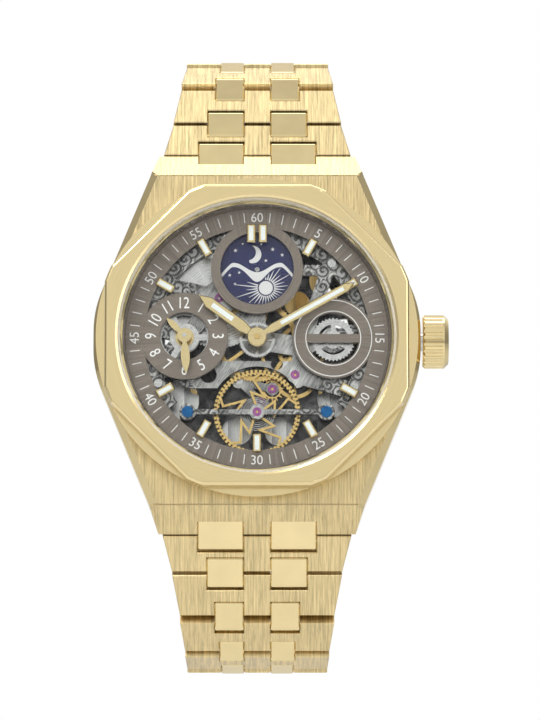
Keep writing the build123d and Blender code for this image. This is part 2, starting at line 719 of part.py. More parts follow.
def hour_wheel():
    wheel = placed(spoked(40, 2.4, 1.95, 1.1, 4, 0.35), CENTRE, Z_MOTION, Z_MOTION + WHEEL_THICKNESS)
    pipe = disc(HOUR_PIPE, Z_MOTION, Z_HOUR_HAND + HAND_THICKNESS)
    return split(wheel + pipe - disc(CENTRE_ARBOR + RUNNING_FIT, Z_MOTION, Z_MINUTE_HAND))


def hour_hand():
    return baton_hand(HOUR_HAND_LENGTH, HOUR_HAND_WIDTH, HAND_HUB, HOUR_PIPE + PRESS_FIT, Z_HOUR_HAND,
                      HAND_THICKNESS, HOUR_HAND_ANGLE)


def minute_hand():
    return baton_hand(MINUTE_HAND_LENGTH, MINUTE_HAND_WIDTH, HAND_HUB, CENTRE_ARBOR + RUNNING_FIT,
                      Z_MINUTE_HAND, HAND_THICKNESS, MINUTE_HAND_ANGLE)


def dual_time_wheel():
    wheel = placed(spoked(48, DUAL_WHEEL_RADIUS, 3.0, 1.9, 3, 0.8), LEFT_DIAL, Z_MOTION, Z_MOTION + WHEEL_THICKNESS)
    top = Z_DUAL_MINUTE + HAND_THICKNESS + 0.1
    return split(wheel + disc(DUAL_ARBOR, Z_BRIDGE + 0.1, top, LEFT_DIAL))


def dual_hour_hand():
    """Leaf hand on a pipe with its small hour wheel."""
    bore = DUAL_ARBOR + RUNNING_FIT
    z0 = Z_MOTION + WHEEL_THICKNESS + END_SHAKE
    pipe = placed(toothed(24, 1.3), LEFT_DIAL, z0, z0 + WHEEL_THICKNESS)
    pipe = pipe + disc(DUAL_PIPE, z0, Z_DUAL_HOUR + HAND_THICKNESS, LEFT_DIAL)
    pipe = pipe - disc(bore, z0, Z_DUAL_MINUTE, LEFT_DIAL)
    return leaf_hand(LEFT_DIAL, DUAL_HOUR_LENGTH, DUAL_HAND_HUB, DUAL_PIPE + PRESS_FIT, Z_DUAL_HOUR,
                     HAND_THICKNESS, DUAL_HOUR_ANGLE) + split(pipe)


def dual_minute_hand():
    return leaf_hand(LEFT_DIAL, DUAL_MINUTE_LENGTH, DUAL_HAND_HUB, DUAL_ARBOR + PRESS_FIT, Z_DUAL_MINUTE,
                     HAND_THICKNESS, DUAL_MINUTE_ANGLE)


def day_night_disc():
    z0 = Z_MOTION + WHEEL_THICKNESS
    body = placed(toothed(32, 2.1), TOP_DIAL, Z_MOTION, z0) + disc(0.9, z0, z0 + 0.15, TOP_DIAL)
    body = body + disc(TOP_DIAL_OPENING + 0.45, z0 + 0.15, z0 + 0.35, TOP_DIAL)
    return split(body - disc(POST_RADIUS + RUNNING_FIT, Z_MOTION, z0 + 0.35, TOP_DIAL))


def crown_wheel():
    shape = toothed(36, 2.9) - (Circle(2.0) - Circle(1.2))
    for i in range(3):
        shape = shape + Rot(0, 0, 120 * i + 90) * Pos(1.2, 0) * Rectangle(2.0, 0.6)
    body = placed(shape, RIGHT_DIAL, Z_MOTION, Z_MOTION + 0.3)
    return split(body - disc(POST_RADIUS + RUNNING_FIT, Z_MOTION, Z_MOTION + 0.3, RIGHT_DIAL))


# ---- plates and bridges ----
LOWER_BEARINGS = (CENTRE, BARREL, THIRD, FOURTH, ESCAPE, PALLET, BALANCE)
PLATE_WINDOWS = ((-10.2, -7.6, 2.6), (10.4, -7.4, 2.5), (-2.6, -11.6, 2.0), (2.9, -11.8, 1.9),
                 (9.6, 8.4, 2.7), (-10.6, 8.2, 1.6), (11.6, 1.6, 1.7), (-12.3, -1.2, 1.8),
                 (3.0, 12.4, 1.6), (-3.1, -3.2, 1.5), (5.3, 5.3, 1.7))


def main_plate():
    face = Circle(MOVEMENT_RADIUS)
    for x, y, radius in PLATE_WINDOWS:
        face = face - spot(radius, (x, y))
    for at in LOWER_BEARINGS:
        face = face - spot(JEWEL_RADIUS, at)
    for at in screw_points():
        face = face - spot(SCREW_SHANK + PRESS_FIT, at)
    return split(slab(face, Z_PLATE, Z_PLATE + PLATE_THICKNESS))


def bridge(face, start, stop, bearings):
    """Openworked plate on an outer wall that stands on the main plate."""
    face = face + sector(BRIDGE_RIM, MOVEMENT_RADIUS, start, stop)
    face = face - spot(BALANCE_RADIUS + 0.4, BALANCE)
    for at in bearings:
        face = face + spot(BOSS_RADIUS, at)
    for at in bearings:
        face = face - spot(JEWEL_RADIUS, at)
    wall = sector(MOVEMENT_RADIUS - BRIDGE_WALL, MOVEMENT_RADIUS, start, stop)
    body = slab(face, Z_BRIDGE, Z_BRIDGE_TOP) + slab(wall, Z_PLATE + PLATE_THICKNESS, Z_BRIDGE)
    for at in screw_points():
        body = body - disc(SCREW_SHANK + PRESS_FIT, Z_BRIDGE, Z_BRIDGE_TOP, at)
    return body


def barrel_bridge():
    rim = (BRIDGE_RIM + MOVEMENT_RADIUS) / 2
    face = arm(BARREL, polar(rim, 108), 2.0) + arm(BARREL, polar(rim, 150), 2.4)
    face = face + arm(BARREL, LEFT_DIAL, 2.2) + arm(LEFT_DIAL, polar(rim, 200), 2.6)
    face = face + arm(LEFT_DIAL, polar(rim, 172), 1.8) + spot(2.0, LEFT_DIAL) + spot(2.3, BARREL)
    body = bridge(face, 98, 218, (BARREL,))
    return split(body - disc(DUAL_ARBOR + RUNNING_FIT, Z_BRIDGE, Z_BRIDGE_TOP, LEFT_DIAL))


def train_bridge():
    rim = (BRIDGE_RIM + MOVEMENT_RADIUS) / 2
    face = arm(TOP_DIAL, CENTRE, 2.2) + arm(TOP_DIAL, polar(rim, 78), 2.0) + spot(1.9, TOP_DIAL)
    face = face + arm(CENTRE, THIRD, 2.6) + arm(THIRD, RIGHT_DIAL, 2.0) + spot(1.7, RIGHT_DIAL)
    face = face + arm(RIGHT_DIAL, polar(rim, 6), 2.4) + arm(THIRD, polar(rim, 48), 1.8)
    face = face + arm(FOURTH, polar(rim, -28), 2.2) + arm(TOP_DIAL, polar(rim, 40), 1.4)
    face = face + arm((-8.6, -4.6), FOURTH, 3.6) + arm(THIRD, FOURTH, 1.8) + spot(2.1, CENTRE)
    face = face - spot(1.1, (-6.4, -4.6)) - spot(0.8, (2.6, -3.2))
    body = bridge(face, -38, 94, (THIRD, FOURTH))
    body = body - disc(CENTRE_ARBOR + RUNNING_FIT, Z_BRIDGE, Z_BRIDGE_TOP)
    body = body + disc(POST_RADIUS, Z_BRIDGE_TOP, Z_MOTION + WHEEL_THICKNESS + 0.45, TOP_DIAL)
    body = body + disc(POST_RADIUS, Z_BRIDGE_TOP, Z_MOTION + 0.4, RIGHT_DIAL)
    return split(body - Pos(MOVEMENT_RADIUS, 0, Z_CROWN) * Rot(0, 90, 0) * Cylinder(STEM_RADIUS + 0.1, 3))


def pallet_bridge():
    foot = PALLET_FOOT
    face = arm(foot, ESCAPE, 1.0) + arm(foot, PALLET, 1.0) + spot(1.0, foot)
    for at in (ESCAPE, PALLET):
        face = face + spot(0.85, at)
    for at in (ESCAPE, PALLET):
        face = face - spot(JEWEL_RADIUS, at)
    body = slab(face, Z_PALLET_BRIDGE, Z_PALLET_BRIDGE + PALLET_BRIDGE_THICKNESS)
    body = body + disc(0.9, Z_PLATE + PLATE_THICKNESS, Z_PALLET_BRIDGE, foot)
    return split(body - disc(SCREW_SHANK + PRESS_FIT, Z_PLATE, Z_BRIDGE, foot))


def balance_bridge():
    """Slim bar across the balance, on a pillar at each end."""
    z1 = Z_BALANCE_BRIDGE + BALANCE_BRIDGE_THICKNESS
    y = BALANCE[1]
    face = arm((-BALANCE_SCREW_X, y), (BALANCE_SCREW_X, y), 0.65) + spot(1.0, BALANCE)
    ends = [(-BALANCE_SCREW_X, y), (BALANCE_SCREW_X, y)]
    for end in ends:
        face = face + spot(BALANCE_CUP, end)
    body = slab(face - spot(JEWEL_RADIUS, BALANCE), Z_BALANCE_BRIDGE, z1)
    for end in ends:
        body = body + disc(BALANCE_CUP, Z_PLATE + PLATE_THICKNESS, Z_BALANCE_BRIDGE, end)
        body = body - disc(BLUED_HEAD + 0.03, z1 - 0.2, z1, end)
        body = body - disc(SCREW_SHANK + PRESS_FIT, Z_PLATE + PLATE_THICKNESS, z1, end)
    return split(body)


def jewels():
    """Ring jewels pressed into the main plate and the bridges."""
    seats = [(at, Z_PLATE + PLATE_THICKNESS - JEWEL_THICKNESS, JEWEL_THICKNESS) for at in LOWER_BEARINGS]
    seats += [(at, Z_BRIDGE_TOP - JEWEL_THICKNESS, JEWEL_THICKNESS) for at in (BARREL, THIRD, FOURTH)]
    seats += [(at, Z_PALLET_BRIDGE, PALLET_BRIDGE_THICKNESS) for at in (ESCAPE, PALLET)]
    seats += [(BALANCE, Z_BALANCE_BRIDGE, BALANCE_BRIDGE_THICKNESS)]
    solids = []
    for at, z0, thickness in seats:
        solids += split(ring(JEWEL_RADIUS - PRESS_FIT, PIVOT_RADIUS + RUNNING_FIT, z0, z0 + thickness, at))
    return solids


def screw_points():
    rim = (BRIDGE_RIM + MOVEMENT_RADIUS) / 2 - 0.35
    return [polar(rim, degrees) for degrees in (106, 150, 204, 84, 46, -26)]


def bridge_screws():
    solids = []
    for i, at in enumerate(screw_points()):
        solids += split(slotted_screw(SCREW_HEAD, SCREW_SHANK, Z_PLATE + 0.1, Z_BRIDGE_TOP,
                                      Z_BRIDGE_TOP + 0.3, at, 35 * i))
    z_seat = Z_PALLET_BRIDGE + PALLET_BRIDGE_THICKNESS
    foot = slotted_screw(SCREW_HEAD, SCREW_SHANK, Z_PLATE + PLATE_THICKNESS + 0.05, z_seat, z_seat + 0.2, PALLET_FOOT)
    return solids + split(foot)


def blued_screws():
    z_seat = Z_BALANCE_BRIDGE + BALANCE_BRIDGE_THICKNESS - 0.2
    solids = []
    for side in (-1, 1):
        at = (side * BALANCE_SCREW_X, BALANCE[1])
        solids += split(slotted_screw(BLUED_HEAD, SCREW_SHANK, Z_PLATE + PLATE_THICKNESS + 0.3, z_seat,
                                      z_seat + 0.4, at, 25 + 20 * side))
    return solids


# ---- rotor ----
def rotor_bearing():
    body = disc(BEARING_RADIUS, ROTOR_Z, Z_PLATE)
    body = body + disc(BEARING_RADIUS + 0.4, ROTOR_Z - 0.3, ROTOR_Z - 0.05)
    body = body + disc(BEARING_RADIUS, ROTOR_Z - 0.05, ROTOR_Z)
    slot = Pos(0, 0, ROTOR_Z - 0.3) * Box(2.4, 0.4, 0.3)
    return split(body - slot)


def rotor():
    """Half-round winding mass with a thick rim."""
    web = sector(BEARING_RADIUS, ROTOR_RADIUS - ROTOR_RIM + 0.2, 180, 360)
    for angle in (215, 270, 325):
        middle = polar(7.6, angle)
        web = web - Pos(*middle) * Rot(0, 0, angle) * Ellipse(3.2, 1.9)
    web = web + Circle(BEARING_RADIUS + 1.1)
    body = slab(web, ROTOR_Z + 0.2, ROTOR_Z + 0.55)
    rim = sector(ROTOR_RADIUS - ROTOR_RIM, ROTOR_RADIUS, 176, 364)
    body = body + slab(rim, ROTOR_Z - 0.35, ROTOR_Z + 0.75)
    body = body + disc(BEARING_RADIUS + 1.1, ROTOR_Z, ROTOR_Z + 0.7)
    return split(body - disc(BEARING_RADIUS + RUNNING_FIT, 0, Z_PLATE))


# ---- crown ----
def crown():
    """Fluted crown, its stem and the winding pinion."""
    along_x = Pos(CROWN_START, 0, Z_CROWN) * Rot(0, 90, 0)
    body = Pos(0, 0, CROWN_LENGTH / 2) * Cylinder(CROWN_RADIUS, CROWN_LENGTH)
    body = chamfer(body.edges().filter_by(GeomType.CIRCLE).group_by(Axis.Z)[-1], 0.55)
    body = chamfer(body.edges().filter_by(GeomType.CIRCLE).group_by(Axis.Z)[0], 0.3)
    for i in range(CROWN_FLUTES):
        x, y = polar(CROWN_RADIUS + 0.12, 360 * i / CROWN_FLUTES)
        body = body - Pos(x, y, CROWN_LENGTH / 2 - 0.3) * Cylinder(0.3, CROWN_LENGTH - 0.9)
    body = body - Pos(0, 0, 0.75) * Cylinder(TUBE_RADIUS + 0.1, 1.5)
    stem = STEM_RADIUS
    length = CROWN_START + 1.6 - STEM_END
    body = body + Pos(0, 0, 1.6 - length / 2) * Cylinder(stem, length)
    pinion = STEM_END + 0.9 - CROWN_START
    body = body + Pos(0, 0, pinion) * Cylinder(0.7, 1.4)
    groove = LEVER_X + LEVER_THICKNESS / 2 - CROWN_START
    cut = Cylinder(stem + 0.1, LEVER_THICKNESS + 0.1) - Cylinder(STEM_GROOVE, LEVER_THICKNESS + 0.1)
    return split(along_x * (body - Pos(0, 0, groove) * cut))


def setting_lever():
    """Fork that rides in the stem's groove and moves with it when the crown is pulled."""
    low = Z_PLATE + PLATE_THICKNESS + 0.1
    body = block(LEVER_X, LEVER_X + LEVER_THICKNESS, -0.9, 0.9, low, Z_BRIDGE - 0.1)
    slot = STEM_GROOVE + RUNNING_FIT
    body = body - block(LEVER_X, LEVER_X + LEVER_THICKNESS, -slot, slot, low, Z_CROWN)
    return split(body - Pos(LEVER_X, 0, Z_CROWN) * Rot(0, 90, 0) * Cylinder(slot, 2 * LEVER_THICKNESS))


# ---- bracelet ----
def row_blank(index):
    """Wide link: side profile with relieved inner edges, narrowing towards the clasp."""
    half = ROW_THICKNESS / 2
    s0 = -PIN_INSET + row_gap(index) / 2
    s1 = row_pitch(index) - PIN_INSET - row_gap(index + 1) / 2
    cut = half * sin(radians(ROW_RELIEF)) / cos(radians(ROW_RELIEF))
    side = outline([(s0, 0), (s0, half), (s1, half), (s1, 0), (s1 - cut, -half), (s0 + cut, -half)])
    wide = bracelet_width(index) / 2
    narrow = bracelet_width(index + 1) / 2
    plan = outline([(wide, s0), (narrow, s1), (-narrow, s1), (-wide, s0)])
    body = extrude(Plane.YZ * side, 2 * wide, both=True) & slab(plan, -half, half)
    return body, s0, s1


def bracelet_row(index):
    half = ROW_THICKNESS / 2
    body, s0, s1 = row_blank(index)
    pitch = row_pitch(index)
    body = body - notches(index, s0 - 1, NOTCH_DEPTH, -half, half)
    own = pitch - PIN_INSET - CONNECTOR_LENGTH / 2 - PRESS_FIT
    body = body - notches(index + 1, own, s1 + 1, -half, half)
    outer = body.faces().filter_by(Axis.Z).sort_by(Axis.Z)[-1]
    body = chamfer(outer.edges(), ROW_EDGE)
    pin_half = bracelet_width(index + 1) / 2 - PIN_RECESS
    hinge_half = bracelet_width(index) / 2 - PIN_RECESS
    body = body - cross_rod(PIN_RADIUS + PRESS_FIT, hinge_half)
    body = body - cross_rod(PIN_RADIUS + PRESS_FIT, pin_half, pitch - 2 * PIN_INSET)
    solids = split(body) + split(cross_rod(PIN_RADIUS, hinge_half))
    for solid in connectors(index + 1):
        solids.append(Pos(0, pitch, 0) * solid)
    return solids


def bracelet_rows():
    """Eight rows on each side, as node name and solids."""
    rows = {}
    pivots = row_pivots()
    for index, heading in enumerate(ROW_HEADINGS):
        y, z = pivots[index]
        solids = bracelet_row(index)
        place = row_place(y, z, heading)
        rows[f"upper_row_{index + 1}"] = [place * solid for solid in solids]
        rows[f"lower_row_{index + 1}"] = [Rot(0, 0, 180) * place * solid for solid in solids]
    return rows


# ---- clasp ----
def clasp_axes():
    """Row hinge of the clasp and the half distance between its two blade hinges."""
    y, z = row_pivots()[-1]
    return y, z, y - CLASP_HINGE_INSET


def end_block(y, z):
    """Full-width block that takes a pair of connectors, on the side where y points outwards."""
    half = ROW_THICKNESS / 2
    wide = bracelet_width(len(ROW_HEADINGS)) / 2
    end = y + PIN_INSET - ROW_GAP / 2
    cut = half * sin(radians(ROW_RELIEF)) / cos(radians(ROW_RELIEF))
    side = [(y - CLASP_BLOCK, z - half), (end, z - half), (end, z), (end - cut, z + half),
            (y - CLASP_BLOCK, z + half)]
    body = extrude(Plane.YZ * outline(side), wide, both=True)
    body = body - notches(len(ROW_HEADINGS), y - NOTCH_DEPTH, end + 1, z - half, z + half)
    return body, wide


def clasp_inner_blade():
    """Blade hinged to row 8 of the 12 o'clock side, with two arms that reach the middle blade."""
    y, z, hinge = clasp_axes()
    body, wide = end_block(y, z)
    axis = z + CLASP_AXIS_RISE
    low = axis - BLADE_THICKNESS / 2
    ear = CLASP_EYE
    for side in (-1, 1):
        inner, outer = sorted((side * ARM_INNER, side * ARM_OUTER))
        body = body + block(inner, outer, -hinge, y - CLASP_BLOCK, low, low + BLADE_THICKNESS)
        inner, outer = sorted((side * EAR_INNER, side * ARM_OUTER))
        middle = (inner + outer) / 2
        eye = Pos(middle, -hinge, axis) * Rot(0, 90, 0) * Cylinder(ear, outer - inner)
        body = body + eye + block(inner, outer, -hinge, -hinge + 2, low, low + BLADE_THICKNESS)
    hinge_half = wide - PIN_RECESS
    body = body - cross_rod(PIN_RADIUS + PRESS_FIT, hinge_half, y, z)
    body = body - cross_rod(CLASP_PIN + PRESS_FIT, ARM_OUTER, -hinge, axis)
    pins = split(cross_rod(PIN_RADIUS, hinge_half, y, z)) + split(cross_rod(CLASP_PIN, ARM_OUTER, -hinge, axis))
    return split(body) + pins


def clasp_middle_blade():
    """Blade that folds between the cover and the inner blade."""
    y, z, hinge = clasp_axes()
    axis = z + CLASP_AXIS_RISE
    half = BLADE_THICKNESS / 2
    body = block(-MIDDLE_BLADE_HALF, MIDDLE_BLADE_HALF, -hinge, hinge, axis - half, axis + half)
    body = body - block(-1.6, 1.6, -0.6 * hinge, 0.6 * hinge, axis - half, axis + half)
    for at in (-hinge, hinge):
        body = body + cross_rod(CLASP_EYE, MIDDLE_BLADE_HALF, at, axis)
    for at in (-hinge, hinge):
        body = body - cross_rod(CLASP_PIN + RUNNING_FIT, MIDDLE_BLADE_HALF, at, axis)
    return split(body)


def clasp_cover():
    """Outer channel with side walls, an end block for the 6 o'clock side and two hinge lugs."""
    y, z, hinge = clasp_axes()
    half = ROW_THICKNESS / 2
    far, wide = end_block(y, z)
    body = Rot(0, 0, 180) * far
    stop = y - CLASP_BLOCK - CLASP_END_GAP
    start = -(y - CLASP_BLOCK)
    body = body + block(-wide, wide, start, stop, z - half, z - half + CLASP_PLATE)
    for side in (-1, 1):
        inner, outer = sorted((side * (wide - CLASP_WALL), side * wide))
        body = body + block(inner, outer, start, stop, z - half, z + half - 0.2)
    bottom = body.faces().filter_by(Axis.Z).sort_by(Axis.Z)[0]
    body = chamfer(bottom.edges().filter_by(Axis.Y), 0.3)
    axis = z + CLASP_AXIS_RISE
    for side in (-1, 1):
        inner, outer = sorted((side * EAR_INNER, side * LUG_OUTER))
        middle = (inner + outer) / 2
        body = body + Pos(middle, hinge, axis) * Rot(0, 90, 0) * Cylinder(CLASP_EYE, outer - inner)
        body = body + block(inner, outer, hinge - CLASP_EYE, hinge + CLASP_EYE, z - half + CLASP_PLATE / 2, axis)
    body = body - cross_rod(CLASP_PIN + PRESS_FIT, LUG_OUTER, hinge, axis)
    window = block(wide - 2 * CLASP_WALL, wide + 1, -BUTTON_LENGTH / 2, BUTTON_LENGTH / 2,
                   button_z(z) - BUTTON_HEIGHT / 2, button_z(z) + BUTTON_HEIGHT / 2)
    body = body - window - Rot(0, 0, 180) * window
    return split(body) + split(cross_rod(CLASP_PIN, LUG_OUTER, hinge, axis))


def button_z(z):
    return z + 0.25


def clasp_button():
    """Push button in the side wall at 3 o'clock, with a flange inside the wall."""
    z = clasp_axes()[1]
    wide = bracelet_width(len(ROW_HEADINGS)) / 2
    gap = RUNNING_FIT
    length = BUTTON_LENGTH / 2 - gap
    height = BUTTON_HEIGHT / 2 - gap
    middle = button_z(z)
    inner = wide - CLASP_WALL - BUTTON_FLANGE
    body = block(inner, wide + BUTTON_PROUD, -length, length, middle - height, middle + height)
    tip = body.faces().sort_by(Axis.X)[-1]
    body = chamfer(tip.edges(), 0.15)
    wing = length + 0.6
    body = body + block(inner, inner + BUTTON_FLANGE - gap, -wing, wing, middle - height, middle + height)
    return split(body)


def opposite(solids):
    return [Rot(0, 0, 180) * solid for solid in solids]


# ---- all nodes ----
def nodes():
    """Every node of the watch, as name and list of solids."""
    parts = {
        "mid_case": mid_case(),
        "bezel": bezel(),
        "crystal": crystal(),
        "gaskets": gaskets(),
        "flange_ring": flange_ring(),
        "dial": dial(),
        "hour_markers": hour_markers(),
        "case_back": case_back(),
        "case_back_crystal": case_back_crystal(),
        "case_back_screws": case_back_screws(),
        "crown_tube": crown_tube(),
        "main_plate": main_plate(),
        "barrel_bridge": barrel_bridge(),
        "train_bridge": train_bridge(),
        "pallet_bridge": pallet_bridge(),
        "balance_bridge": balance_bridge(),
        "jewels": jewels(),
        "bridge_screws": bridge_screws(),
        "blued_screws": blued_screws(),
        "rotor_bearing": rotor_bearing(),
        "barrel": barrel(),
        "center_wheel": center_wheel(),
        "minute_hand": minute_hand(),
        "hour_wheel": hour_wheel(),
        "hour_hand": hour_hand(),
        "third_wheel": third_wheel(),
        "fourth_wheel": fourth_wheel(),
        "escape_wheel": escape_wheel(),
        "pallet_fork": pallet_fork(),
        "balance_wheel": balance_wheel(),
        "hairspring": hairspring(),
        "day_night_disc": day_night_disc(),
        "dual_time_wheel": dual_time_wheel(),
        "dual_hour_hand": dual_hour_hand(),
        "dual_minute_hand": dual_minute_hand(),
        "crown_wheel": crown_wheel(),
        "rotor": rotor(),
        "crown": crown(),
        "setting_lever": setting_lever(),
        "clasp_inner_blade": clasp_inner_blade(),
        "clasp_middle_blade": clasp_middle_blade(),
        "clasp_cover": clasp_cover(),
        "clasp_button_right": clasp_button(),
        "clasp_button_left": opposite(clasp_button()),
    }
    parts.update(bracelet_rows())
    return parts


def main():
    os.makedirs("parts", exist_ok=True)
    for name, solids in nodes().items():
        export_step(Compound([STAND_UP * solid for solid in solids]), f"parts/{name}.step")


if __name__ == "__main__":
    main()
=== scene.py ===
import math
import random

import bmesh
import bpy
import numpy as np
from mathutils import Matrix, Vector

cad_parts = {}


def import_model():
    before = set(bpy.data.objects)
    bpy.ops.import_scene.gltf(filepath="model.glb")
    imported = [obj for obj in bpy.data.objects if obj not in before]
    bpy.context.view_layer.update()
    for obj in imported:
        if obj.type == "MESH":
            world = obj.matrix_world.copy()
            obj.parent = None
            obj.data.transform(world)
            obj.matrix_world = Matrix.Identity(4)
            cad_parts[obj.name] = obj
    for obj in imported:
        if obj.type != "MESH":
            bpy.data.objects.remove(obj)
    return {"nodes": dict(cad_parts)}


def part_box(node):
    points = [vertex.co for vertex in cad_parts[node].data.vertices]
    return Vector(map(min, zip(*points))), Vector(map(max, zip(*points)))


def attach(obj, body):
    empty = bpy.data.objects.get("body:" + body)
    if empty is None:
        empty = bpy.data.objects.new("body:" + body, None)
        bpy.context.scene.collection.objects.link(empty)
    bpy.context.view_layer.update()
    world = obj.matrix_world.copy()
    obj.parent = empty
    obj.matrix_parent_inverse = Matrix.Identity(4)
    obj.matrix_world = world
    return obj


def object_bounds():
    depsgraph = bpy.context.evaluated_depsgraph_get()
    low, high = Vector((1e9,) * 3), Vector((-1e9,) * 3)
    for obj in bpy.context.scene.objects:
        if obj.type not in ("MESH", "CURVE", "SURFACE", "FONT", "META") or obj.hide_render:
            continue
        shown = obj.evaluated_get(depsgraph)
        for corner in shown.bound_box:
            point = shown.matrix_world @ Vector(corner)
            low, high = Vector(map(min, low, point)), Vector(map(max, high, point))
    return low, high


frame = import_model()
CAD_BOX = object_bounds()
NODES = frame["nodes"]
MM = 0.001
PRINT_THICKNESS = 0.012     # mm, as the other sizes here
INLAYS = {                  # half width of each pale inlay, and where it starts and stops
    "hour_markers": (0.28, 12.97, 14.83),
    "hour_hand": (0.315, 3.93, 7.25),
    "minute_hand": (0.242, 3.58, 12.98),
}
RIM_NOTCH = 0.35            # depth of the balance rim's notches, which are painted dark as shade


# ---- places, in watch directions: x to 3 o'clock, y to 12 o'clock, z out of the dial, mm ----
def watch(x, y, z):
    return Vector((x * MM, -z * MM, y * MM))


def front_of(node):
    """Height of a node's face nearest the viewer, mm above the rest face."""
    return -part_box(node)[0].y / MM


def back_of(node):
    return -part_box(node)[1].y / MM


def middle_of(node):
    low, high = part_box(node)
    return ((low.x + high.x) / 2 / MM, (low.z + high.z) / 2 / MM)


def polar(radius, degrees, at=(0.0, 0.0)):
    """A point by its angle clockwise from 12 o'clock."""
    a = math.radians(degrees)
    return (at[0] + radius * math.sin(a), at[1] + radius * math.cos(a))


DIAL_FRONT = front_of("dial")
TOP_DIAL = middle_of("day_night_disc")
LEFT_DIAL = middle_of("dual_time_wheel")
RIGHT_DIAL = middle_of("crown_wheel")
BALANCE = middle_of("balance_wheel")


# ---- material nodes ----
class Finish:
    """A Principled material with short calls for the nodes that feed it."""

    def __init__(self, name, **values):
        self.material = bpy.data.materials.new(name)
        self.material.use_nodes = True
        self.tree = self.material.node_tree
        self.shader = self.tree.nodes["Principled BSDF"]
        for key, value in values.items():
            self.shader.inputs[key.replace("_", " ")].default_value = value

    def node(self, kind, settings=(), **inputs):
        made = self.tree.nodes.new(kind)
        for key, value in dict(settings).items():
            setattr(made, key, value)
        for key, value in inputs.items():
            self.feed(made.inputs[key.replace("_", " ")], value)
        return made

    def feed(self, socket, value):
        if isinstance(value, bpy.types.NodeSocket):
            self.tree.links.new(value, socket)
        else:
            socket.default_value = value

    def place(self):
        return self.node("ShaderNodeTexCoord").outputs["Object"]

    def maths(self, operation, a, b=0.0, c=0.0):
        made = self.node("ShaderNodeMath", {"operation": operation})
        self.feed(made.inputs[0], a)
        self.feed(made.inputs[1], b)
        self.feed(made.inputs[2], c)
        return made.outputs[0]

    def parts(self, vector):
        return self.node("ShaderNodeSeparateXYZ", Vector=vector).outputs

    def joined(self, x=0.0, y=0.0, z=0.0):
        return self.node("ShaderNodeCombineXYZ", X=x, Y=y, Z=z).outputs[0]

    def moved(self, vector, offset):
        made = self.node("ShaderNodeVectorMath", {"operation": "SUBTRACT"})
        self.feed(made.inputs[0], vector)
        made.inputs[1].default_value = offset
        return made.outputs[0]

    def stretched(self, vector, scale):
        made = self.node("ShaderNodeVectorMath", {"operation": "MULTIPLY"})
        self.feed(made.inputs[0], vector)
        made.inputs[1].default_value = scale
        return made.outputs[0]

    def noise(self, vector, scale=1.0, detail=3.0, rough=0.55):
        made = self.node("ShaderNodeTexNoise", Vector=vector, Scale=scale, Detail=detail, Roughness=rough)
        return made.outputs["Fac"]

    def cells(self, vector, scale, feature="F1", randomness=1.0):
        made = self.node("ShaderNodeTexVoronoi", {"feature": feature}, Vector=vector, Scale=scale,
                         Randomness=randomness)
        return made.outputs["Distance"]

    def ramp(self, value, *stops):
        made = self.node("ShaderNodeValToRGB", Fac=value)
        points = made.color_ramp.elements
        while len(points) < len(stops):
            points.new(0.5)
        for point, (position, colour) in zip(points, stops):
            point.position = position
            point.color = (*colour, 1.0) if len(colour) == 3 else colour
        return made.outputs["Color"]

    def span(self, value, low, high, start=0.0, stop=1.0):
        made = self.node("ShaderNodeMapRange", Value=value)
        made.inputs["From Min"].default_value = start
        made.inputs["From Max"].default_value = stop
        made.inputs["To Min"].default_value = low
        made.inputs["To Max"].default_value = high
        return made.outputs["Result"]

    def polar_parts(self, centre):
        """Radius and angle about an axis through the dial, from a point in metres."""
        x, y, z = self.parts(self.moved(self.place(), centre))
        radius = self.maths("SQRT", self.maths("ADD", self.maths("MULTIPLY", x, x), self.maths("MULTIPLY", z, z)))
        return radius, self.maths("ARCTAN2", x, z)

    def bump(self, height, strength, distance=0.00002, under=None):
        made = self.node("ShaderNodeBump", Strength=strength, Distance=distance, Height=height)
        if under is not None:
            self.tree.links.new(under, made.inputs["Normal"])
        return made.outputs["Normal"]

    def set(self, **values):
        for key, value in values.items():
            self.feed(self.shader.inputs[key.replace("_", " ")], value)
        return self


def tint(colour, factor):
    return tuple(min(1.0, c * factor) for c in colour)


GOLD = (0.76, 0.62, 0.335)
SOFT_GOLD = (0.64, 0.51, 0.27)
STEEL = (0.60, 0.60, 0.59)
TAUPE = (0.205, 0.175, 0.148)


def brushed_gold():
    """Fine straight brushing along each link and the case."""
    f = Finish("brushed gold", Metallic=1.0)
    lines = f.noise(f.stretched(f.place(), (26000, 700, 700)), 1.0, 3.0, 0.6)
    broad = f.noise(f.stretched(f.place(), (5200, 160, 160)), 1.0, 2.0)
    soft = f.noise(f.place(), 160.0, 2.0)
    streak = f.maths("ADD", f.maths("MULTIPLY", lines, 0.45), f.maths("MULTIPLY", broad, 0.55))
    colour = f.ramp(streak, (0.34, tint(SOFT_GOLD, 0.60)), (0.50, SOFT_GOLD), (0.66, tint(SOFT_GOLD, 1.32)))
    rough = f.maths("ADD", f.span(streak, 0.26, 0.42, 0.3, 0.7), f.span(soft, -0.02, 0.04))
    return f.set(Base_Color=colour, Roughness=rough, Normal=f.bump(streak, 0.35, 0.000012)).material


def polished_gold():
    f = Finish("polished gold", Metallic=1.0)
    cloud = f.noise(f.place(), 260.0, 3.0)
    hairline = f.noise(f.stretched(f.place(), (9000, 1500, 4200)), 1.0, 2.0)
    colour = f.ramp(cloud, (0.3, tint(GOLD, 0.95)), (0.7, tint(GOLD, 1.03)))
    rough = f.maths("ADD", f.span(cloud, 0.07, 0.12), f.span(hairline, 0.0, 0.05, 0.5, 0.9))
    return f.set(Base_Color=colour, Roughness=rough, Normal=f.bump(hairline, 0.05, 0.000004)).material


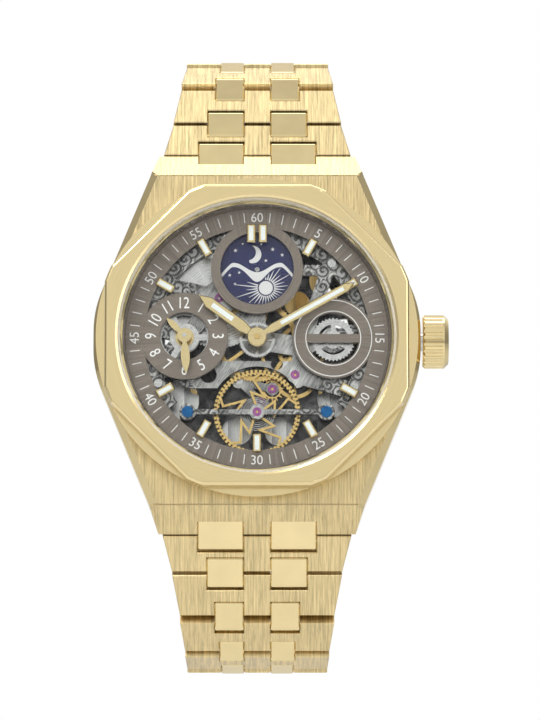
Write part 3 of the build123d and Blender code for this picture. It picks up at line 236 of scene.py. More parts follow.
def satin_gold():
    """Fine circular satin on the bezel's front."""
    f = Finish("satin gold", Metallic=1.0)
    radius, angle = f.polar_parts((0.0, 0.0, 0.0))
    rings = f.noise(f.joined(f.maths("MULTIPLY", radius, 22000), f.maths("MULTIPLY", angle, 3.0)), 1.0, 2.0)
    cloud = f.noise(f.place(), 220.0, 2.0)
    colour = f.ramp(rings, (0.3, tint(GOLD, 0.93)), (0.7, tint(GOLD, 1.04)))
    rough = f.maths("ADD", f.span(rings, 0.16, 0.22), f.span(cloud, -0.02, 0.03))
    return f.set(Base_Color=colour, Roughness=rough, Normal=f.bump(rings, 0.06, 0.000006)).material


def hand_gold():
    f = Finish("gilt hand", Metallic=1.0)
    grain = f.noise(f.place(), 5200.0, 3.0)
    colour = f.ramp(grain, (0.3, tint(GOLD, 0.86)), (0.7, tint(GOLD, 1.06)))
    return f.set(Base_Color=colour, Roughness=f.span(grain, 0.14, 0.26), Normal=f.bump(grain, 0.1, 0.000005)).material


def lume():
    f = Finish("pale inlay", Roughness=0.5)
    grain = f.noise(f.place(), 9000.0, 4.0)
    colour = f.ramp(grain, (0.3, (0.66, 0.70, 0.68)), (0.7, (0.80, 0.83, 0.81)))
    return f.set(Base_Color=colour, Roughness=f.span(grain, 0.42, 0.6), Normal=f.bump(grain, 0.3, 0.00001)).material


def dial_taupe():
    """Sunray brushing that fans from the hand axis."""
    f = Finish("taupe dial", Metallic=0.75)
    radius, angle = f.polar_parts((0.0, 0.0, 0.0))
    rays = f.noise(f.joined(f.maths("MULTIPLY", angle, 95.0), f.maths("MULTIPLY", radius, 90.0)), 1.0, 4.0, 0.65)
    fine = f.noise(f.place(), 14000.0, 2.0)
    colour = f.ramp(rays, (0.28, tint(TAUPE, 0.72)), (0.5, TAUPE), (0.74, tint(TAUPE, 1.38)))
    rough = f.maths("ADD", f.span(rays, 0.30, 0.44), f.span(fine, -0.03, 0.03))
    return f.set(Base_Color=colour, Roughness=rough, Normal=f.bump(rays, 0.25, 0.00001)).material


def rehaut():
    f = Finish("flange ring", Metallic=0.8)
    radius, angle = f.polar_parts((0.0, 0.0, 0.0))
    rays = f.noise(f.joined(f.maths("MULTIPLY", angle, 120.0)), 1.0, 3.0)
    colour = f.ramp(rays, (0.3, tint(TAUPE, 0.8)), (0.7, tint(TAUPE, 1.5)))
    return f.set(Base_Color=colour, Roughness=f.span(rays, 0.18, 0.3)).material


def bridge_grey():
    """Grey plated bridges: slanted brushing, with spiral scrollwork cut near the rim, its cut lines darkened in colour
    as painted shade.
    """
    f = Finish("bridge plating", Metallic=1.0)
    at = f.place()
    x, y, z = f.parts(at)
    slant = f.maths("ADD", f.maths("MULTIPLY", x, 0.5), f.maths("MULTIPLY", z, 0.86))
    across = f.maths("SUBTRACT", f.maths("MULTIPLY", x, 0.86), f.maths("MULTIPLY", z, 0.5))
    brush = f.noise(f.joined(f.maths("MULTIPLY", across, 9000), f.maths("MULTIPLY", slant, 500)), 1.0, 4.0, 0.65)
    shade = f.noise(at, 330.0, 2.0, 0.5)
    radius, angle = f.polar_parts((0.0, 0.0, 0.0))
    unrolled = f.joined(f.maths("MULTIPLY", radius, 640), f.maths("MULTIPLY", angle, 8.0))
    curl = f.node("ShaderNodeTexVoronoi", {}, Vector=unrolled, Scale=1.0, Randomness=0.3)
    local = f.node("ShaderNodeVectorMath", {"operation": "SUBTRACT"})
    f.feed(local.inputs[0], unrolled)
    f.feed(local.inputs[1], curl.outputs["Position"])
    u, v, w = f.parts(local.outputs[0])
    winding = f.maths("ADD", f.maths("MULTIPLY", curl.outputs["Distance"], 17.0), f.maths("ARCTAN2", u, v))
    scroll = f.span(f.maths("SINE", winding), 0.0, 1.0, -0.1, 0.35)
    cut = f.maths("MULTIPLY", scroll, f.span(radius, 0.0, 1.0, 0.0096, 0.0106))
    tone = f.maths("ADD", f.maths("MULTIPLY", brush, 0.55), f.maths("MULTIPLY", shade, 0.45))
    base = f.ramp(tone, (0.36, (0.13, 0.13, 0.128)), (0.50, (0.36, 0.36, 0.35)), (0.64, (0.78, 0.78, 0.76)))
    # painted shade: the scrollwork cut lines are multiplied towards dark grey in the base colour
    painted_shade_mix = f.node("ShaderNodeMix", {"data_type": "RGBA", "blend_type": "MULTIPLY"})
    f.feed(painted_shade_mix.inputs[0], f.maths("MULTIPLY", cut, 0.85))
    f.feed(painted_shade_mix.inputs[6], base)
    painted_shade_mix.inputs[7].default_value = (0.16, 0.16, 0.165, 1.0)
    height = f.bump(brush, 0.25, 0.00001)
    return f.set(Base_Color=painted_shade_mix.outputs[2], Roughness=f.span(tone, 0.20, 0.40, 0.3, 0.7),
                 Normal=f.bump(cut, 0.6, 0.00008, height)).material


def plate_grey():
    """Main plate with overlapping circular graining, its grey darkened towards black as painted shade for its deep
    place under the bridges.
    """
    f = Finish("plate graining", Metallic=1.0)
    pearl = f.cells(f.place(), 1150.0, "F1", 0.12)
    swirl = f.maths("SINE", f.maths("MULTIPLY", pearl, 46.0))
    patch = f.noise(f.place(), 700.0, 3.0)
    tone = f.maths("ADD", f.maths("MULTIPLY", swirl, 0.12), patch)
    # painted shade: the plate's colour stops are kept near black
    colour = f.ramp(tone, (0.34, (0.014, 0.014, 0.015)), (0.52, (0.055, 0.055, 0.056)), (0.72, (0.17, 0.17, 0.168)))
    return f.set(Base_Color=colour, Roughness=f.span(pearl, 0.2, 0.42), Normal=f.bump(swirl, 0.4, 0.00002)).material


def turned(name, base, centre, notches=0, rim=0.0):
    """Circular graining about a wheel's own arbor, with painted glints round it and dark notches outside the radius
    rim, the notches being painted shade.
    """
    f = Finish(name, Metallic=1.0)
    radius, angle = f.polar_parts((centre[0] * MM, 0.0, centre[1] * MM))
    rings = f.noise(f.joined(f.maths("MULTIPLY", radius, 22000), f.maths("MULTIPLY", angle, 2.0)), 1.0, 3.0)
    glint = f.noise(f.joined(f.maths("MULTIPLY", angle, 4.0)), 1.0, 2.0)
    tone = f.maths("ADD", f.maths("MULTIPLY", rings, 0.65), f.maths("MULTIPLY", glint, 0.35))
    colour = f.ramp(tone, (0.3, tint(base, 0.62)), (0.5, base), (0.7, tint(base, 1.35)))
    if notches:
        # painted shade: the rim notches are coloured near black
        tooth = f.span(f.maths("SINE", f.maths("MULTIPLY", angle, notches)), 0.0, 1.0, 0.1, 0.5)
        cut = f.maths("MULTIPLY", tooth, f.span(radius, 0.0, 1.0, rim - 0.00003, rim))
        painted_shade_mix = f.node("ShaderNodeMix", {"data_type": "RGBA"})
        f.feed(painted_shade_mix.inputs[0], cut)
        f.feed(painted_shade_mix.inputs[6], colour)
        painted_shade_mix.inputs[7].default_value = (*tint(base, 0.12), 1.0)
        colour = painted_shade_mix.outputs[2]
    return f.set(Base_Color=colour, Roughness=f.span(rings, 0.18, 0.34), Normal=f.bump(rings, 0.2, 0.000008)).material


def deep_steel():
    """Walls of the cut-outs and the inside of the case back, in near-black grey as painted shade."""
    f = Finish("steel in painted shade", Metallic=1.0)
    grain = f.noise(f.place(), 2600.0, 3.0)
    colour = f.ramp(grain, (0.3, (0.03, 0.03, 0.031)), (0.7, (0.085, 0.085, 0.086)))
    return f.set(Base_Color=colour, Roughness=f.span(grain, 0.3, 0.5)).material


def fine_steel():
    f = Finish("polished steel", Metallic=1.0)
    grain = f.noise(f.place(), 3600.0, 3.0)
    colour = f.ramp(grain, (0.3, tint(STEEL, 0.85)), (0.7, tint(STEEL, 1.15)))
    return f.set(Base_Color=colour, Roughness=f.span(grain, 0.12, 0.24)).material


def ruby():
    f = Finish("ruby", Roughness=0.06, Coat_Weight=1.0)
    depth = f.noise(f.place(), 2600.0, 2.0)
    colour = f.ramp(depth, (0.3, (0.16, 0.03, 0.15)), (0.7, (0.36, 0.07, 0.30)))
    return f.set(Base_Color=colour, Roughness=f.span(depth, 0.05, 0.14)).material


def blued_steel():
    f = Finish("blued steel", Metallic=1.0)
    bloom = f.noise(f.place(), 2400.0, 2.0)
    colour = f.ramp(bloom, (0.3, (0.010, 0.060, 0.19)), (0.7, (0.03, 0.20, 0.48)))
    return f.set(Base_Color=colour, Roughness=f.span(bloom, 0.14, 0.26)).material


def navy():
    f = Finish("navy enamel", Coat_Weight=0.15)
    fleck = f.noise(f.place(), 6500.0, 4.0)
    colour = f.ramp(fleck, (0.35, (0.004, 0.006, 0.045)), (0.65, (0.010, 0.014, 0.090)))
    return f.set(Base_Color=colour, Roughness=f.span(fleck, 0.22, 0.36)).material


def silver_print():
    f = Finish("silver print", Metallic=0.55)
    grain = f.noise(f.place(), 11000.0, 3.0)
    colour = f.ramp(grain, (0.3, (0.55, 0.55, 0.55)), (0.7, (0.76, 0.76, 0.75)))
    return f.set(Base_Color=colour, Roughness=f.span(grain, 0.3, 0.48)).material


def white_print():
    f = Finish("white print", Roughness=0.5)
    grain = f.noise(f.place(), 16000.0, 2.0)
    colour = f.ramp(grain, (0.3, (0.74, 0.73, 0.71)), (0.7, (0.86, 0.86, 0.84)))
    return f.set(Base_Color=colour, Roughness=f.span(grain, 0.45, 0.6)).material


def rubber():
    f = Finish("black rubber", Roughness=0.6)
    grain = f.noise(f.place(), 5000.0, 3.0)
    colour = f.ramp(grain, (0.3, (0.012, 0.012, 0.012)), (0.7, (0.03, 0.03, 0.03)))
    return f.set(Base_Color=colour, Roughness=f.span(grain, 0.5, 0.7), Normal=f.bump(grain, 0.2)).material


def nylon():
    """Pale translucent crystal seal."""
    f = Finish("clear nylon", Roughness=0.4)
    grain = f.noise(f.place(), 4000.0, 2.0)
    colour = f.ramp(grain, (0.3, (0.60, 0.55, 0.45)), (0.7, (0.72, 0.68, 0.58)))
    return f.set(Base_Color=colour, Roughness=f.span(grain, 0.3, 0.45)).material


def rotor_grey():
    """Broad stripes across the rotor, brushed between them."""
    f = Finish("rotor stripes", Metallic=1.0)
    x, y, z = f.parts(f.place())
    stripe = f.maths("FRACT", f.maths("MULTIPLY", x, 520.0))
    fine = f.noise(f.stretched(f.place(), (24000, 24000, 500)), 1.0, 3.0)
    tone = f.maths("ADD", f.maths("MULTIPLY", stripe, 0.6), f.maths("MULTIPLY", fine, 0.4))
    colour = f.ramp(tone, (0.2, (0.34, 0.34, 0.34)), (0.5, (0.55, 0.55, 0.54)), (0.85, (0.76, 0.76, 0.74)))
    return f.set(Base_Color=colour, Roughness=f.span(fine, 0.2, 0.36), Normal=f.bump(stripe, 0.3, 0.00003)).material


def sapphire(name):
    """Clear crystal: a thin coated pane that mirrors a little at a slant and lets light in."""
    f = Finish(name)
    tree = f.tree
    tree.nodes.remove(f.shader)
    out = next(n for n in tree.nodes if n.type == "OUTPUT_MATERIAL")
    clear = f.node("ShaderNodeBsdfTransparent", Color=(0.985, 0.99, 0.985, 1.0))
    gloss = f.node("ShaderNodeBsdfAnisotropic", Color=(1.0, 1.0, 1.0, 1.0), Roughness=0.01)
    slant = f.node("ShaderNodeLayerWeight", Blend=0.5).outputs["Facing"]
    mix = f.node("ShaderNodeMixShader")
    smear = f.noise(f.place(), 120.0, 2.0)
    edge = f.maths("MULTIPLY_ADD", f.maths("POWER", slant, 5.0), 0.6, 0.010)
    share = f.maths("MULTIPLY", edge, f.span(smear, 0.75, 0.95))
    f.feed(mix.inputs[0], share)
    tree.links.new(clear.outputs[0], mix.inputs[1])
    tree.links.new(gloss.outputs[0], mix.inputs[2])
    tree.links.new(mix.outputs[0], out.inputs["Surface"])
    return f.material


BRUSHED = brushed_gold()
POLISHED = polished_gold()
SATIN = satin_gold()
HAND = hand_gold()
LUME = lume()
DIAL = dial_taupe()
REHAUT = rehaut()
BRIDGE = bridge_grey()
PLATE = plate_grey()
FINE_STEEL = fine_steel()
PAINTED_SHADE_STEEL = deep_steel()
RUBY = ruby()
BLUED = blued_steel()
NAVY = navy()
SILVER = silver_print()
WHITE = white_print()
RUBBER = rubber()
NYLON = nylon()
ROTOR = rotor_grey()
GILT = (0.70, 0.50, 0.20)


# ---- CAD nodes: finishes by face ----
def dress(node, *materials):
    """Put materials in a node's slots; faces keep the first unless moved."""
    obj = NODES[node]
    obj.data.materials.clear()
    for material in materials:
        obj.data.materials.append(material)
    indices = np.zeros(len(obj.data.polygons), np.int32)
    obj.data.polygons.foreach_set("material_index", indices)
    return obj


def islands(obj):
    """Lists of face numbers, one per solid, found by shared corner positions."""
    mesh = obj.data
    co = np.zeros(len(mesh.vertices) * 3, np.float64)
    mesh.vertices.foreach_get("co", co)
    keys = np.round(co.reshape(-1, 3) * 1e7).astype(np.int64)
    unique, inverse = np.unique(keys, axis=0, return_inverse=True)
    parent = list(range(len(unique)))

    def root(a):
        while parent[a] != a:
            parent[a] = parent[parent[a]]
            a = parent[a]
        return a

    inverse = inverse.reshape(-1)
    for face in mesh.polygons:
        first = root(inverse[face.vertices[0]])
        for v in face.vertices[1:]:
            parent[root(inverse[v])] = first
    groups = {}
    for face in mesh.polygons:
        groups.setdefault(root(inverse[face.vertices[0]]), []).append(face.index)
    return list(groups.values())


def extent(obj, faces):
    mesh = obj.data
    points = np.array([mesh.vertices[v].co for f in faces for v in mesh.polygons[f].vertices])
    return points.min(0), points.max(0)


def set_faces(obj, faces, index):
    for f in faces:
        obj.data.polygons[f].material_index = index


def dress_row(node):
    """Wide link brushed, its bevels polished; connectors and pins polished."""
    obj = dress(node, BRUSHED, POLISHED, FINE_STEEL)
    groups = sorted(islands(obj), key=lambda g: -(extent(obj, g)[1][0] - extent(obj, g)[0][0]))
    spans = [(extent(obj, g), g) for g in groups]
    for (low, high), group in spans:
        width = high[0] - low[0]
        if width < 0.0075:
            set_faces(obj, group, 1)
        elif max(high[1] - low[1], high[2] - low[2]) < 0.0012:
            set_faces(obj, group, 2)
        else:
            for f in group:
                if abs(obj.data.polygons[f].normal.x) > 0.9:
                    obj.data.polygons[f].material_index = 1


def dress_walls(node, top, wall):
    """The flat faces take one finish and the cut edges another; the calls give the edges painted shade."""
    obj = dress(node, top, wall)
    for f in obj.data.polygons:
        if abs(f.normal.y) < 0.6:
            f.material_index = 1


def dress_inlaid(node):
    """Gilt piece with a long pale inlay that lies along a line out from the dial centre."""
    half, start, stop = (value * MM for value in INLAYS[node])
    slack = 0.02 * MM
    obj = dress(node, HAND, LUME)
    for group in islands(obj):
        points = np.array([obj.data.vertices[v].co[:] for f in group for v in obj.data.polygons[f].vertices])[:, [0, 2]]
        end = points[np.argmax(np.hypot(*points.T))]
        if node == "hour_markers":
            end = (points.min(0) + points.max(0)) / 2
        root = np.zeros(2)
        if abs(end[0]) < MM:
            root = np.array((end[0], 0.0))
        along = (end - root) / np.hypot(*(end - root))
        for f in group:
            face = obj.data.polygons[f]
            corners = np.array([obj.data.vertices[v].co[:] for v in face.vertices])[:, [0, 2]] - root
            out = corners @ along
            across = abs(corners @ np.array((along[1], -along[0])))
            if across.max() < half + slack and out.min() > start - slack and out.max() < stop + slack:
                face.material_index = 1


def dress_all():
    for side in ("upper", "lower"):
        for i in range(1, 9):
            dress_row(f"{side}_row_{i}")
    case = dress("mid_case", BRUSHED, POLISHED)
    for group in islands(case):
        low, high = extent(case, group)
        if high[0] - low[0] < 0.03:
            set_faces(case, group, 1)
        else:
            for f in group:
                normal = case.data.polygons[f].normal
                if abs(normal.y) < 0.93 and abs(normal.x) > 0.25:
                    case.data.polygons[f].material_index = 1
    dress("bezel", SATIN)
    dress("crown", POLISHED)
    for node in ("clasp_inner_blade", "clasp_middle_blade", "clasp_button_left", "clasp_button_right"):
        dress(node, POLISHED)
    cover = dress("clasp_cover", BRUSHED, POLISHED)
    for f in cover.data.polygons:
        if abs(f.normal.x) > 0.7:
            f.material_index = 1
    dress("crystal", sapphire("front crystal"))
    dress("case_back_crystal", sapphire("back crystal"))
    dress("flange_ring", REHAUT)
    dress("dial", DIAL)
    for node in ("case_back_screws", "crown_tube", "bridge_screws", "rotor_bearing", "setting_lever", "hairspring",
                 "pallet_fork", "hour_wheel"):
        dress(node, FINE_STEEL)
    # the cut-out walls of the plate and bridges take painted shade
    dress_walls("main_plate", PLATE, PAINTED_SHADE_STEEL)
    for node in ("barrel_bridge", "train_bridge", "pallet_bridge", "balance_bridge"):
        dress_walls(node, BRIDGE, PAINTED_SHADE_STEEL)
    for node in ("barrel", "crown_wheel", "dual_time_wheel"):
        dress(node, turned(f"{node} graining", STEEL, middle_of(node)))
    for node in ("center_wheel", "third_wheel", "fourth_wheel", "escape_wheel"):
        dress(node, turned(f"{node} gilding", GILT, middle_of(node)))
    low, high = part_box("balance_wheel")
    dress("balance_wheel", turned("balance gilding", GILT, BALANCE, 60, (high.x - low.x) / 2 - RIM_NOTCH * MM))
    dress("jewels", RUBY)
    dress("blued_screws", BLUED)
    dress("day_night_disc", NAVY)
    dress("rotor", ROTOR)
    for node in INLAYS:
        dress_inlaid(node)
    dress("dual_hour_hand", HAND)
    dress("dual_minute_hand", HAND)
    gasket = dress("gaskets", RUBBER, NYLON)
    upper = min(islands(gasket), key=lambda g: extent(gasket, g)[0][1])
    set_faces(gasket, upper, 1)
    # the inside faces of the case back take painted shade
    back = dress("case_back", SATIN, PAINTED_SHADE_STEEL)
    for f in back.data.polygons:
        if f.normal.y < -0.5:
            f.material_index = 1


dress_all()


# ---- printed and applied pieces ----
class Flat:
    """Flat work on a dial: faces gathered in watch millimetres, given a thickness on making."""

    def __init__(self, name):
        self.name = name
        self.points = []
        self.faces = []

    def polygon(self, points):
        start = len(self.points)
        self.points += [tuple(p) for p in points]
        self.faces.append(list(range(start, start + len(points))))

    def band(self, left, right, closed=False):
        """Strip of quads between two lines of the same length."""
        start = len(self.points)
        n = len(left)
        self.points += [tuple(p) for p in left] + [tuple(p) for p in right]
        for i in range(n if closed else n - 1):
            j = (i + 1) % n
            self.faces.append([start + i, start + j, start + n + j, start + n + i])

    def circle(self, centre, inner, outer, steps=128):
        angles = [360.0 * i / steps for i in range(steps)]
        self.band([polar(inner, a, centre) for a in angles], [polar(outer, a, centre) for a in angles], True)

    def stroke(self, line, width):
        """A line of points drawn with a width; width may be a number or a list."""
        n = len(line)
        widths = width if isinstance(width, (list, tuple)) else [width] * n
        left, right = [], []
        for i, (x, y) in enumerate(line):
            ax, ay = line[max(i - 1, 0)]
            bx, by = line[min(i + 1, n - 1)]
            length = math.hypot(bx - ax, by - ay) or 1.0
            nx, ny = -(by - ay) / length, (bx - ax) / length
            left.append((x + nx * widths[i] / 2, y + ny * widths[i] / 2))
            right.append((x - nx * widths[i] / 2, y - ny * widths[i] / 2))
        self.band(left, right)

    def text(self, body, size, centre, turn, squeeze=1.0):
        """Plain numerals, turned clockwise in degrees."""
        curve = bpy.data.curves.new("glyph", "FONT")
        curve.body = body
        curve.size = size
        curve.align_x = "CENTER"
        curve.align_y = "CENTER"
        curve.resolution_u = 5
        obj = bpy.data.objects.new("glyph", curve)
        bpy.context.scene.collection.objects.link(obj)
        bpy.context.view_layer.update()
        mesh = bpy.data.meshes.new_from_object(obj.evaluated_get(bpy.context.evaluated_depsgraph_get()))
        xs = [v.co.x for v in mesh.vertices]
        ys = [v.co.y for v in mesh.vertices]
        mid = ((min(xs) + max(xs)) / 2, (min(ys) + max(ys)) / 2)
        a = math.radians(turn)
        start = len(self.points)
        for v in mesh.vertices:
            x, y = (v.co.x - mid[0]) * squeeze, v.co.y - mid[1]
            self.points.append((centre[0] + x * math.cos(a) + y * math.sin(a),
                                centre[1] - x * math.sin(a) + y * math.cos(a)))
        for face in mesh.polygons:
            self.faces.append([start + i for i in face.vertices])
        bpy.data.objects.remove(obj)
        bpy.data.curves.remove(curve)
        bpy.data.meshes.remove(mesh)

    def make(self, body, material, base, thickness=PRINT_THICKNESS):
        """Closed sheet standing on the height base, in mm."""
        mesh = bpy.data.meshes.new(self.name)
        made = bmesh.new()
        corners = [made.verts.new(watch(x, y, base + thickness)) for x, y in self.points]
        for face in self.faces:
            try:
                made.faces.new([corners[i] for i in face])
            except ValueError:
                pass
        bmesh.ops.recalc_face_normals(made, faces=made.faces)
        for face in made.faces:
            if face.normal.y > 0:
                face.normal_flip()
        grown = bmesh.ops.extrude_face_region(made, geom=list(made.faces))
        for item in grown["geom"]:
            if isinstance(item, bmesh.types.BMVert):
                item.co.y += thickness * MM
        bmesh.ops.recalc_face_normals(made, faces=made.faces)
        made.to_mesh(mesh)
        made.free()
        obj = bpy.data.objects.new(self.name, mesh)
        bpy.context.scene.collection.objects.link(obj)
        mesh.materials.append(material)
        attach(obj, body)
        return obj


def reads_outward(degrees):
    return math.cos(math.radians(degrees)) > -0.1


def numeral(flat, body, size, radius, degrees, at=(0.0, 0.0), squeeze=1.0):
    turn = degrees if reads_outward(degrees) else degrees + 180
    flat.text(body, size, polar(radius, degrees, at), turn, squeeze)


def dial_print():
    ticks = Flat("minute_scale")
    for minute in range(60):
        a = minute * 6.0
        if minute % 5:
            ticks.stroke([polar(15.45, a), polar(16.75, a)], 0.11)
        else:
            numeral(ticks, str(minute or 60), 1.75, 16.1, a, squeeze=0.95)
    for hour in range(1, 13):
        numeral(ticks, str(hour), 2.15, 4.42, hour * 30.0, LEFT_DIAL, 0.78)
    ticks.circle(RIGHT_DIAL, 4.99, 5.09)
    ticks.circle(RIGHT_DIAL, 3.55, 3.65)
    ticks.make("case", WHITE, DIAL_FRONT)


def star(flat, x, y, size):
    points = []
    for i in range(10):
        points.append(polar(size if i % 2 == 0 else size * 0.36, 36.0 * i, (x, y)))
    for i in range(10):
        flat.polygon([(x, y), points[i], points[(i + 1) % 10]])


def sky_art():
    """Silver crescent, stars, a rolling horizon and a sun with rays, all plain shapes."""
    cx, cy = TOP_DIAL
    art = Flat("day_night_art")
    moon_at, moon, bite_at, bite = (-0.62, 2.02), 1.18, (-1.22, 2.30), 1.06
    outer, inner = [], []
    for i in range(41):
        t = i / 40.0
        a = -18.0 + t * 216.0
        px, py = polar(moon, a, moon_at)
        dx, dy = px - bite_at[0], py - bite_at[1]
        far = math.hypot(dx, dy)
        outer.append((cx + px, cy + py))
        inner.append((cx + bite_at[0] + dx / far * min(bite, far), cy + bite_at[1] + dy / far * min(bite, far)))
    art.band(outer, inner)
    for x, y, size in ((-2.85, 2.55, 0.30), (2.05, 2.7, 0.30), (3.3, 1.95, 0.28), (1.15, 1.2, 0.26), (-3.6, -0.75, 0.26),
                       (-2.35, -0.4, 0.24), (-2.9, -1.9, 0.2), (0.55, 3.4, 0.2), (-1.9, 3.45, 0.18)):
        star(art, cx + x, cy + y, size)
    top, bottom = [], []
    for i in range(97):
        x = -4.72 + 9.44 * i / 96.0
        wave = 0.62 * (1.0 - math.cos(2 * math.pi * x / 6.1)) - 0.35
        reach = math.sqrt(max(4.76 ** 2 - x * x, 0.0))
        thick = 0.55 + 0.75 * math.exp(-(x / 1.15) ** 2)
        edge = max(0.0, abs(x) - 3.3)
        y = wave - 0.55 * edge
        top.append((cx + x, cy + max(min(y, reach), -reach)))
        bottom.append((cx + x, cy + max(min(y - thick, reach), -reach)))
    art.band(top, bottom)
    sun = (1.15, -2.45)
    for i in range(48):
        a, b = 360.0 * i / 48, 360.0 * (i + 1) / 48
        art.polygon([(cx + sun[0], cy + sun[1]), tuple(np.add(polar(0.92, a, sun), (cx, cy))),
                     tuple(np.add(polar(0.92, b, sun), (cx, cy)))])
    for i in range(30):
        a = 12.0 * i
        far = 0.0
        while far < 8.0:
            px, py = polar(far, a, sun)
            wave = 0.62 * (1.0 - math.cos(2 * math.pi * px / 6.1)) - 0.35 - 0.55 * max(0.0, abs(px) - 3.3)
            roof = wave - 0.75 - 0.75 * math.exp(-(px / 1.15) ** 2)
            if math.hypot(px, py) > 4.6 or py > roof:
                break
            far += 0.02
        if far > 1.3:
            start, stop = polar(1.08, a, sun), polar(min(far, 4.2 if i % 2 else 2.6), a, sun)
            line = [(cx + start[0], cy + start[1]), (cx + stop[0], cy + stop[1])]
            art.stroke(line, [0.17, 0.05] if i % 2 else [0.2, 0.03])
    art.make("day_night", SILVER, front_of("day_night_disc"))


def dial_edges():
    """Polished bevels round the sub-dials and the main opening."""
    rims = Flat("dial_rims")
    rims.circle(TOP_DIAL, 4.83, 4.97)
    rims.circle(TOP_DIAL, 5.92, 6.03)
    rims.circle(LEFT_DIAL, 3.17, 3.29)
    rims.circle(LEFT_DIAL, 5.64, 5.74)
    rims.circle(RIGHT_DIAL, 3.40, 3.50)
    rims.circle(RIGHT_DIAL, 5.22, 5.32)
    rims.make("case", REHAUT, DIAL_FRONT, 0.02)


def case_creases():
    """Polished line where the case's flat top turns down to the bracelet."""
    mesh = bpy.data.meshes.new("case_creases")
    made = bmesh.new()
    for end in (1, -1):
        rows = [(21.78, 7.2515), (21.90, 7.262), (21.985, 7.163)]
        points = [[made.verts.new(watch(x, end * y, z)) for x in (-13.55, 13.55)] for y, z in rows]
        for a, b in zip(points, points[1:]):
            made.faces.new((a[0], a[1], b[1], b[0]))
    bmesh.ops.solidify(made, geom=list(made.faces), thickness=0.00001)
    bmesh.ops.recalc_face_normals(made, faces=made.faces)
    made.to_mesh(mesh)
    made.free()
    obj = bpy.data.objects.new("case_creases", mesh)
    bpy.context.scene.collection.objects.link(obj)
    mesh.materials.append(POLISHED)
    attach(obj, "case")


dial_print()
dial_edges()
case_creases()
sky_art()


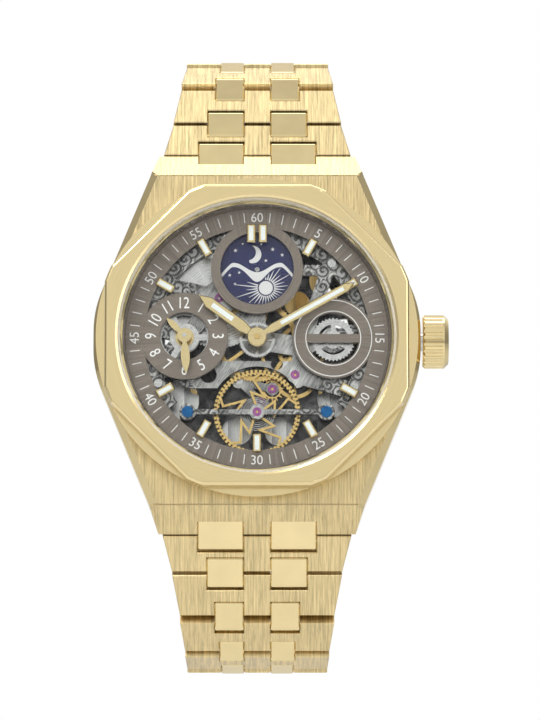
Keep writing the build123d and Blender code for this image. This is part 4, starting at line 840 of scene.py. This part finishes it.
# ---- stage: floor, light, camera ----
def world():
    made = bpy.data.worlds.new("studio")
    bpy.context.scene.world = made
    made.use_nodes = True
    tree = made.node_tree
    tree.nodes.clear()
    new = tree.nodes.new
    link = tree.links.new
    out = new("ShaderNodeOutputWorld")
    way = new("ShaderNodeTexCoord")
    split = new("ShaderNodeSeparateXYZ")
    link(way.outputs["Generated"], split.inputs[0])
    height = new("ShaderNodeMapRange")
    height.inputs["From Min"].default_value = -1.0
    link(split.outputs["Z"], height.inputs["Value"])
    ramp = new("ShaderNodeValToRGB")
    link(height.outputs["Result"], ramp.inputs["Fac"])
    stops = ((0.0, 0.30), (0.25, 0.55), (0.42, 0.86), (0.55, 0.92), (0.74, 1.0), (0.90, 0.92), (1.0, 0.72))
    while len(ramp.color_ramp.elements) < len(stops):
        ramp.color_ramp.elements.new(0.5)
    for point, (position, value) in zip(ramp.color_ramp.elements, stops):
        point.position = position
        point.color = (value, value, value, 1.0)
    path = new("ShaderNodeLightPath")
    shown = new("ShaderNodeMath")
    shown.operation = "MAXIMUM"
    link(path.outputs["Is Camera Ray"], shown.inputs[0])
    link(path.outputs["Is Transmission Ray"], shown.inputs[1])
    seen = new("ShaderNodeBackground")
    seen.inputs["Strength"].default_value = 1.0
    soft = new("ShaderNodeBackground")
    soft.inputs["Color"].default_value = (0.97, 0.98, 1.0, 1.0)
    soft.inputs["Strength"].default_value = 0.55
    mirror = new("ShaderNodeBackground")
    link(ramp.outputs["Color"], mirror.inputs["Color"])
    sideways = new("ShaderNodeMath")
    sideways.operation = "ABSOLUTE"
    link(split.outputs["X"], sideways.inputs[0])
    wings = new("ShaderNodeMapRange")
    wings.interpolation_type = "SMOOTHSTEP"
    wings.inputs["From Min"].default_value = 0.45
    wings.inputs["From Max"].default_value = 1.0
    wings.inputs["To Min"].default_value = 1.0
    wings.inputs["To Max"].default_value = 0.35
    link(sideways.outputs[0], wings.inputs["Value"])
    link(wings.outputs["Result"], mirror.inputs["Strength"])
    seen.inputs["Color"].default_value = (1.0, 1.0, 1.0, 1.0)
    first = new("ShaderNodeMixShader")
    link(path.outputs["Is Glossy Ray"], first.inputs[0])
    link(soft.outputs[0], first.inputs[1])
    link(mirror.outputs[0], first.inputs[2])
    second = new("ShaderNodeMixShader")
    link(shown.outputs[0], second.inputs[0])
    link(first.outputs[0], second.inputs[1])
    link(seen.outputs[0], second.inputs[2])
    link(second.outputs[0], out.inputs["Surface"])


def lamp(name, place, aim, size, power, colour=(1.0, 1.0, 1.0)):
    light = bpy.data.lights.new(name, "AREA")
    light.shape = "RECTANGLE"
    light.size, light.size_y = size
    light.energy = power
    light.color = colour
    obj = bpy.data.objects.new(name, light)
    bpy.context.scene.collection.objects.link(obj)
    obj.location = place
    obj.rotation_euler = (Vector(aim) - Vector(place)).to_track_quat("-Z", "Y").to_euler()
    return obj


def floor():
    low = CAD_BOX[0].z - 0.12
    mesh = bpy.data.meshes.new("floor")
    side = 3.0
    mesh.from_pydata([(-side, -side, low), (side, -side, low), (side, side, low), (-side, side, low)], [], [(0, 1, 2, 3)])
    obj = bpy.data.objects.new("floor", mesh)
    bpy.context.scene.collection.objects.link(obj)
    f = Finish("pale floor", Roughness=0.8)
    cloud = f.noise(f.place(), 3.0, 2.0)
    f.set(Base_Color=f.ramp(cloud, (0.3, (0.86, 0.86, 0.86)), (0.7, (0.9, 0.9, 0.9))))
    mesh.materials.append(f.material)


def camera():
    data = bpy.data.cameras.new("camera")
    data.lens = 229.0
    data.sensor_width = 36.0
    obj = bpy.data.objects.new("camera", data)
    bpy.context.scene.collection.objects.link(obj)
    aim = watch(1.7, -2.9, DIAL_FRONT)
    tilt = math.radians(-9.0)
    back = Vector((0.0, -math.cos(tilt), math.sin(tilt)))
    obj.location = aim + back * 0.6
    obj.rotation_euler = (-back).to_track_quat("-Z", "Y").to_euler()
    data.clip_start, data.clip_end = 0.01, 20.0
    bpy.context.scene.camera = obj


world()
floor()
camera()
lamp("key", (-0.25, -0.45, 0.45), (0, 0, 0), (0.30, 0.30), 3.0)
lamp("fill", (0.4, -0.5, 0.1), (0, 0, 0), (0.3, 0.5), 1.0)
lamp("top", (0.0, 0.1, 0.6), (0, 0, 0), (0.5, 0.4), 1.6)
bpy.context.scene.view_settings.view_transform = "Standard"
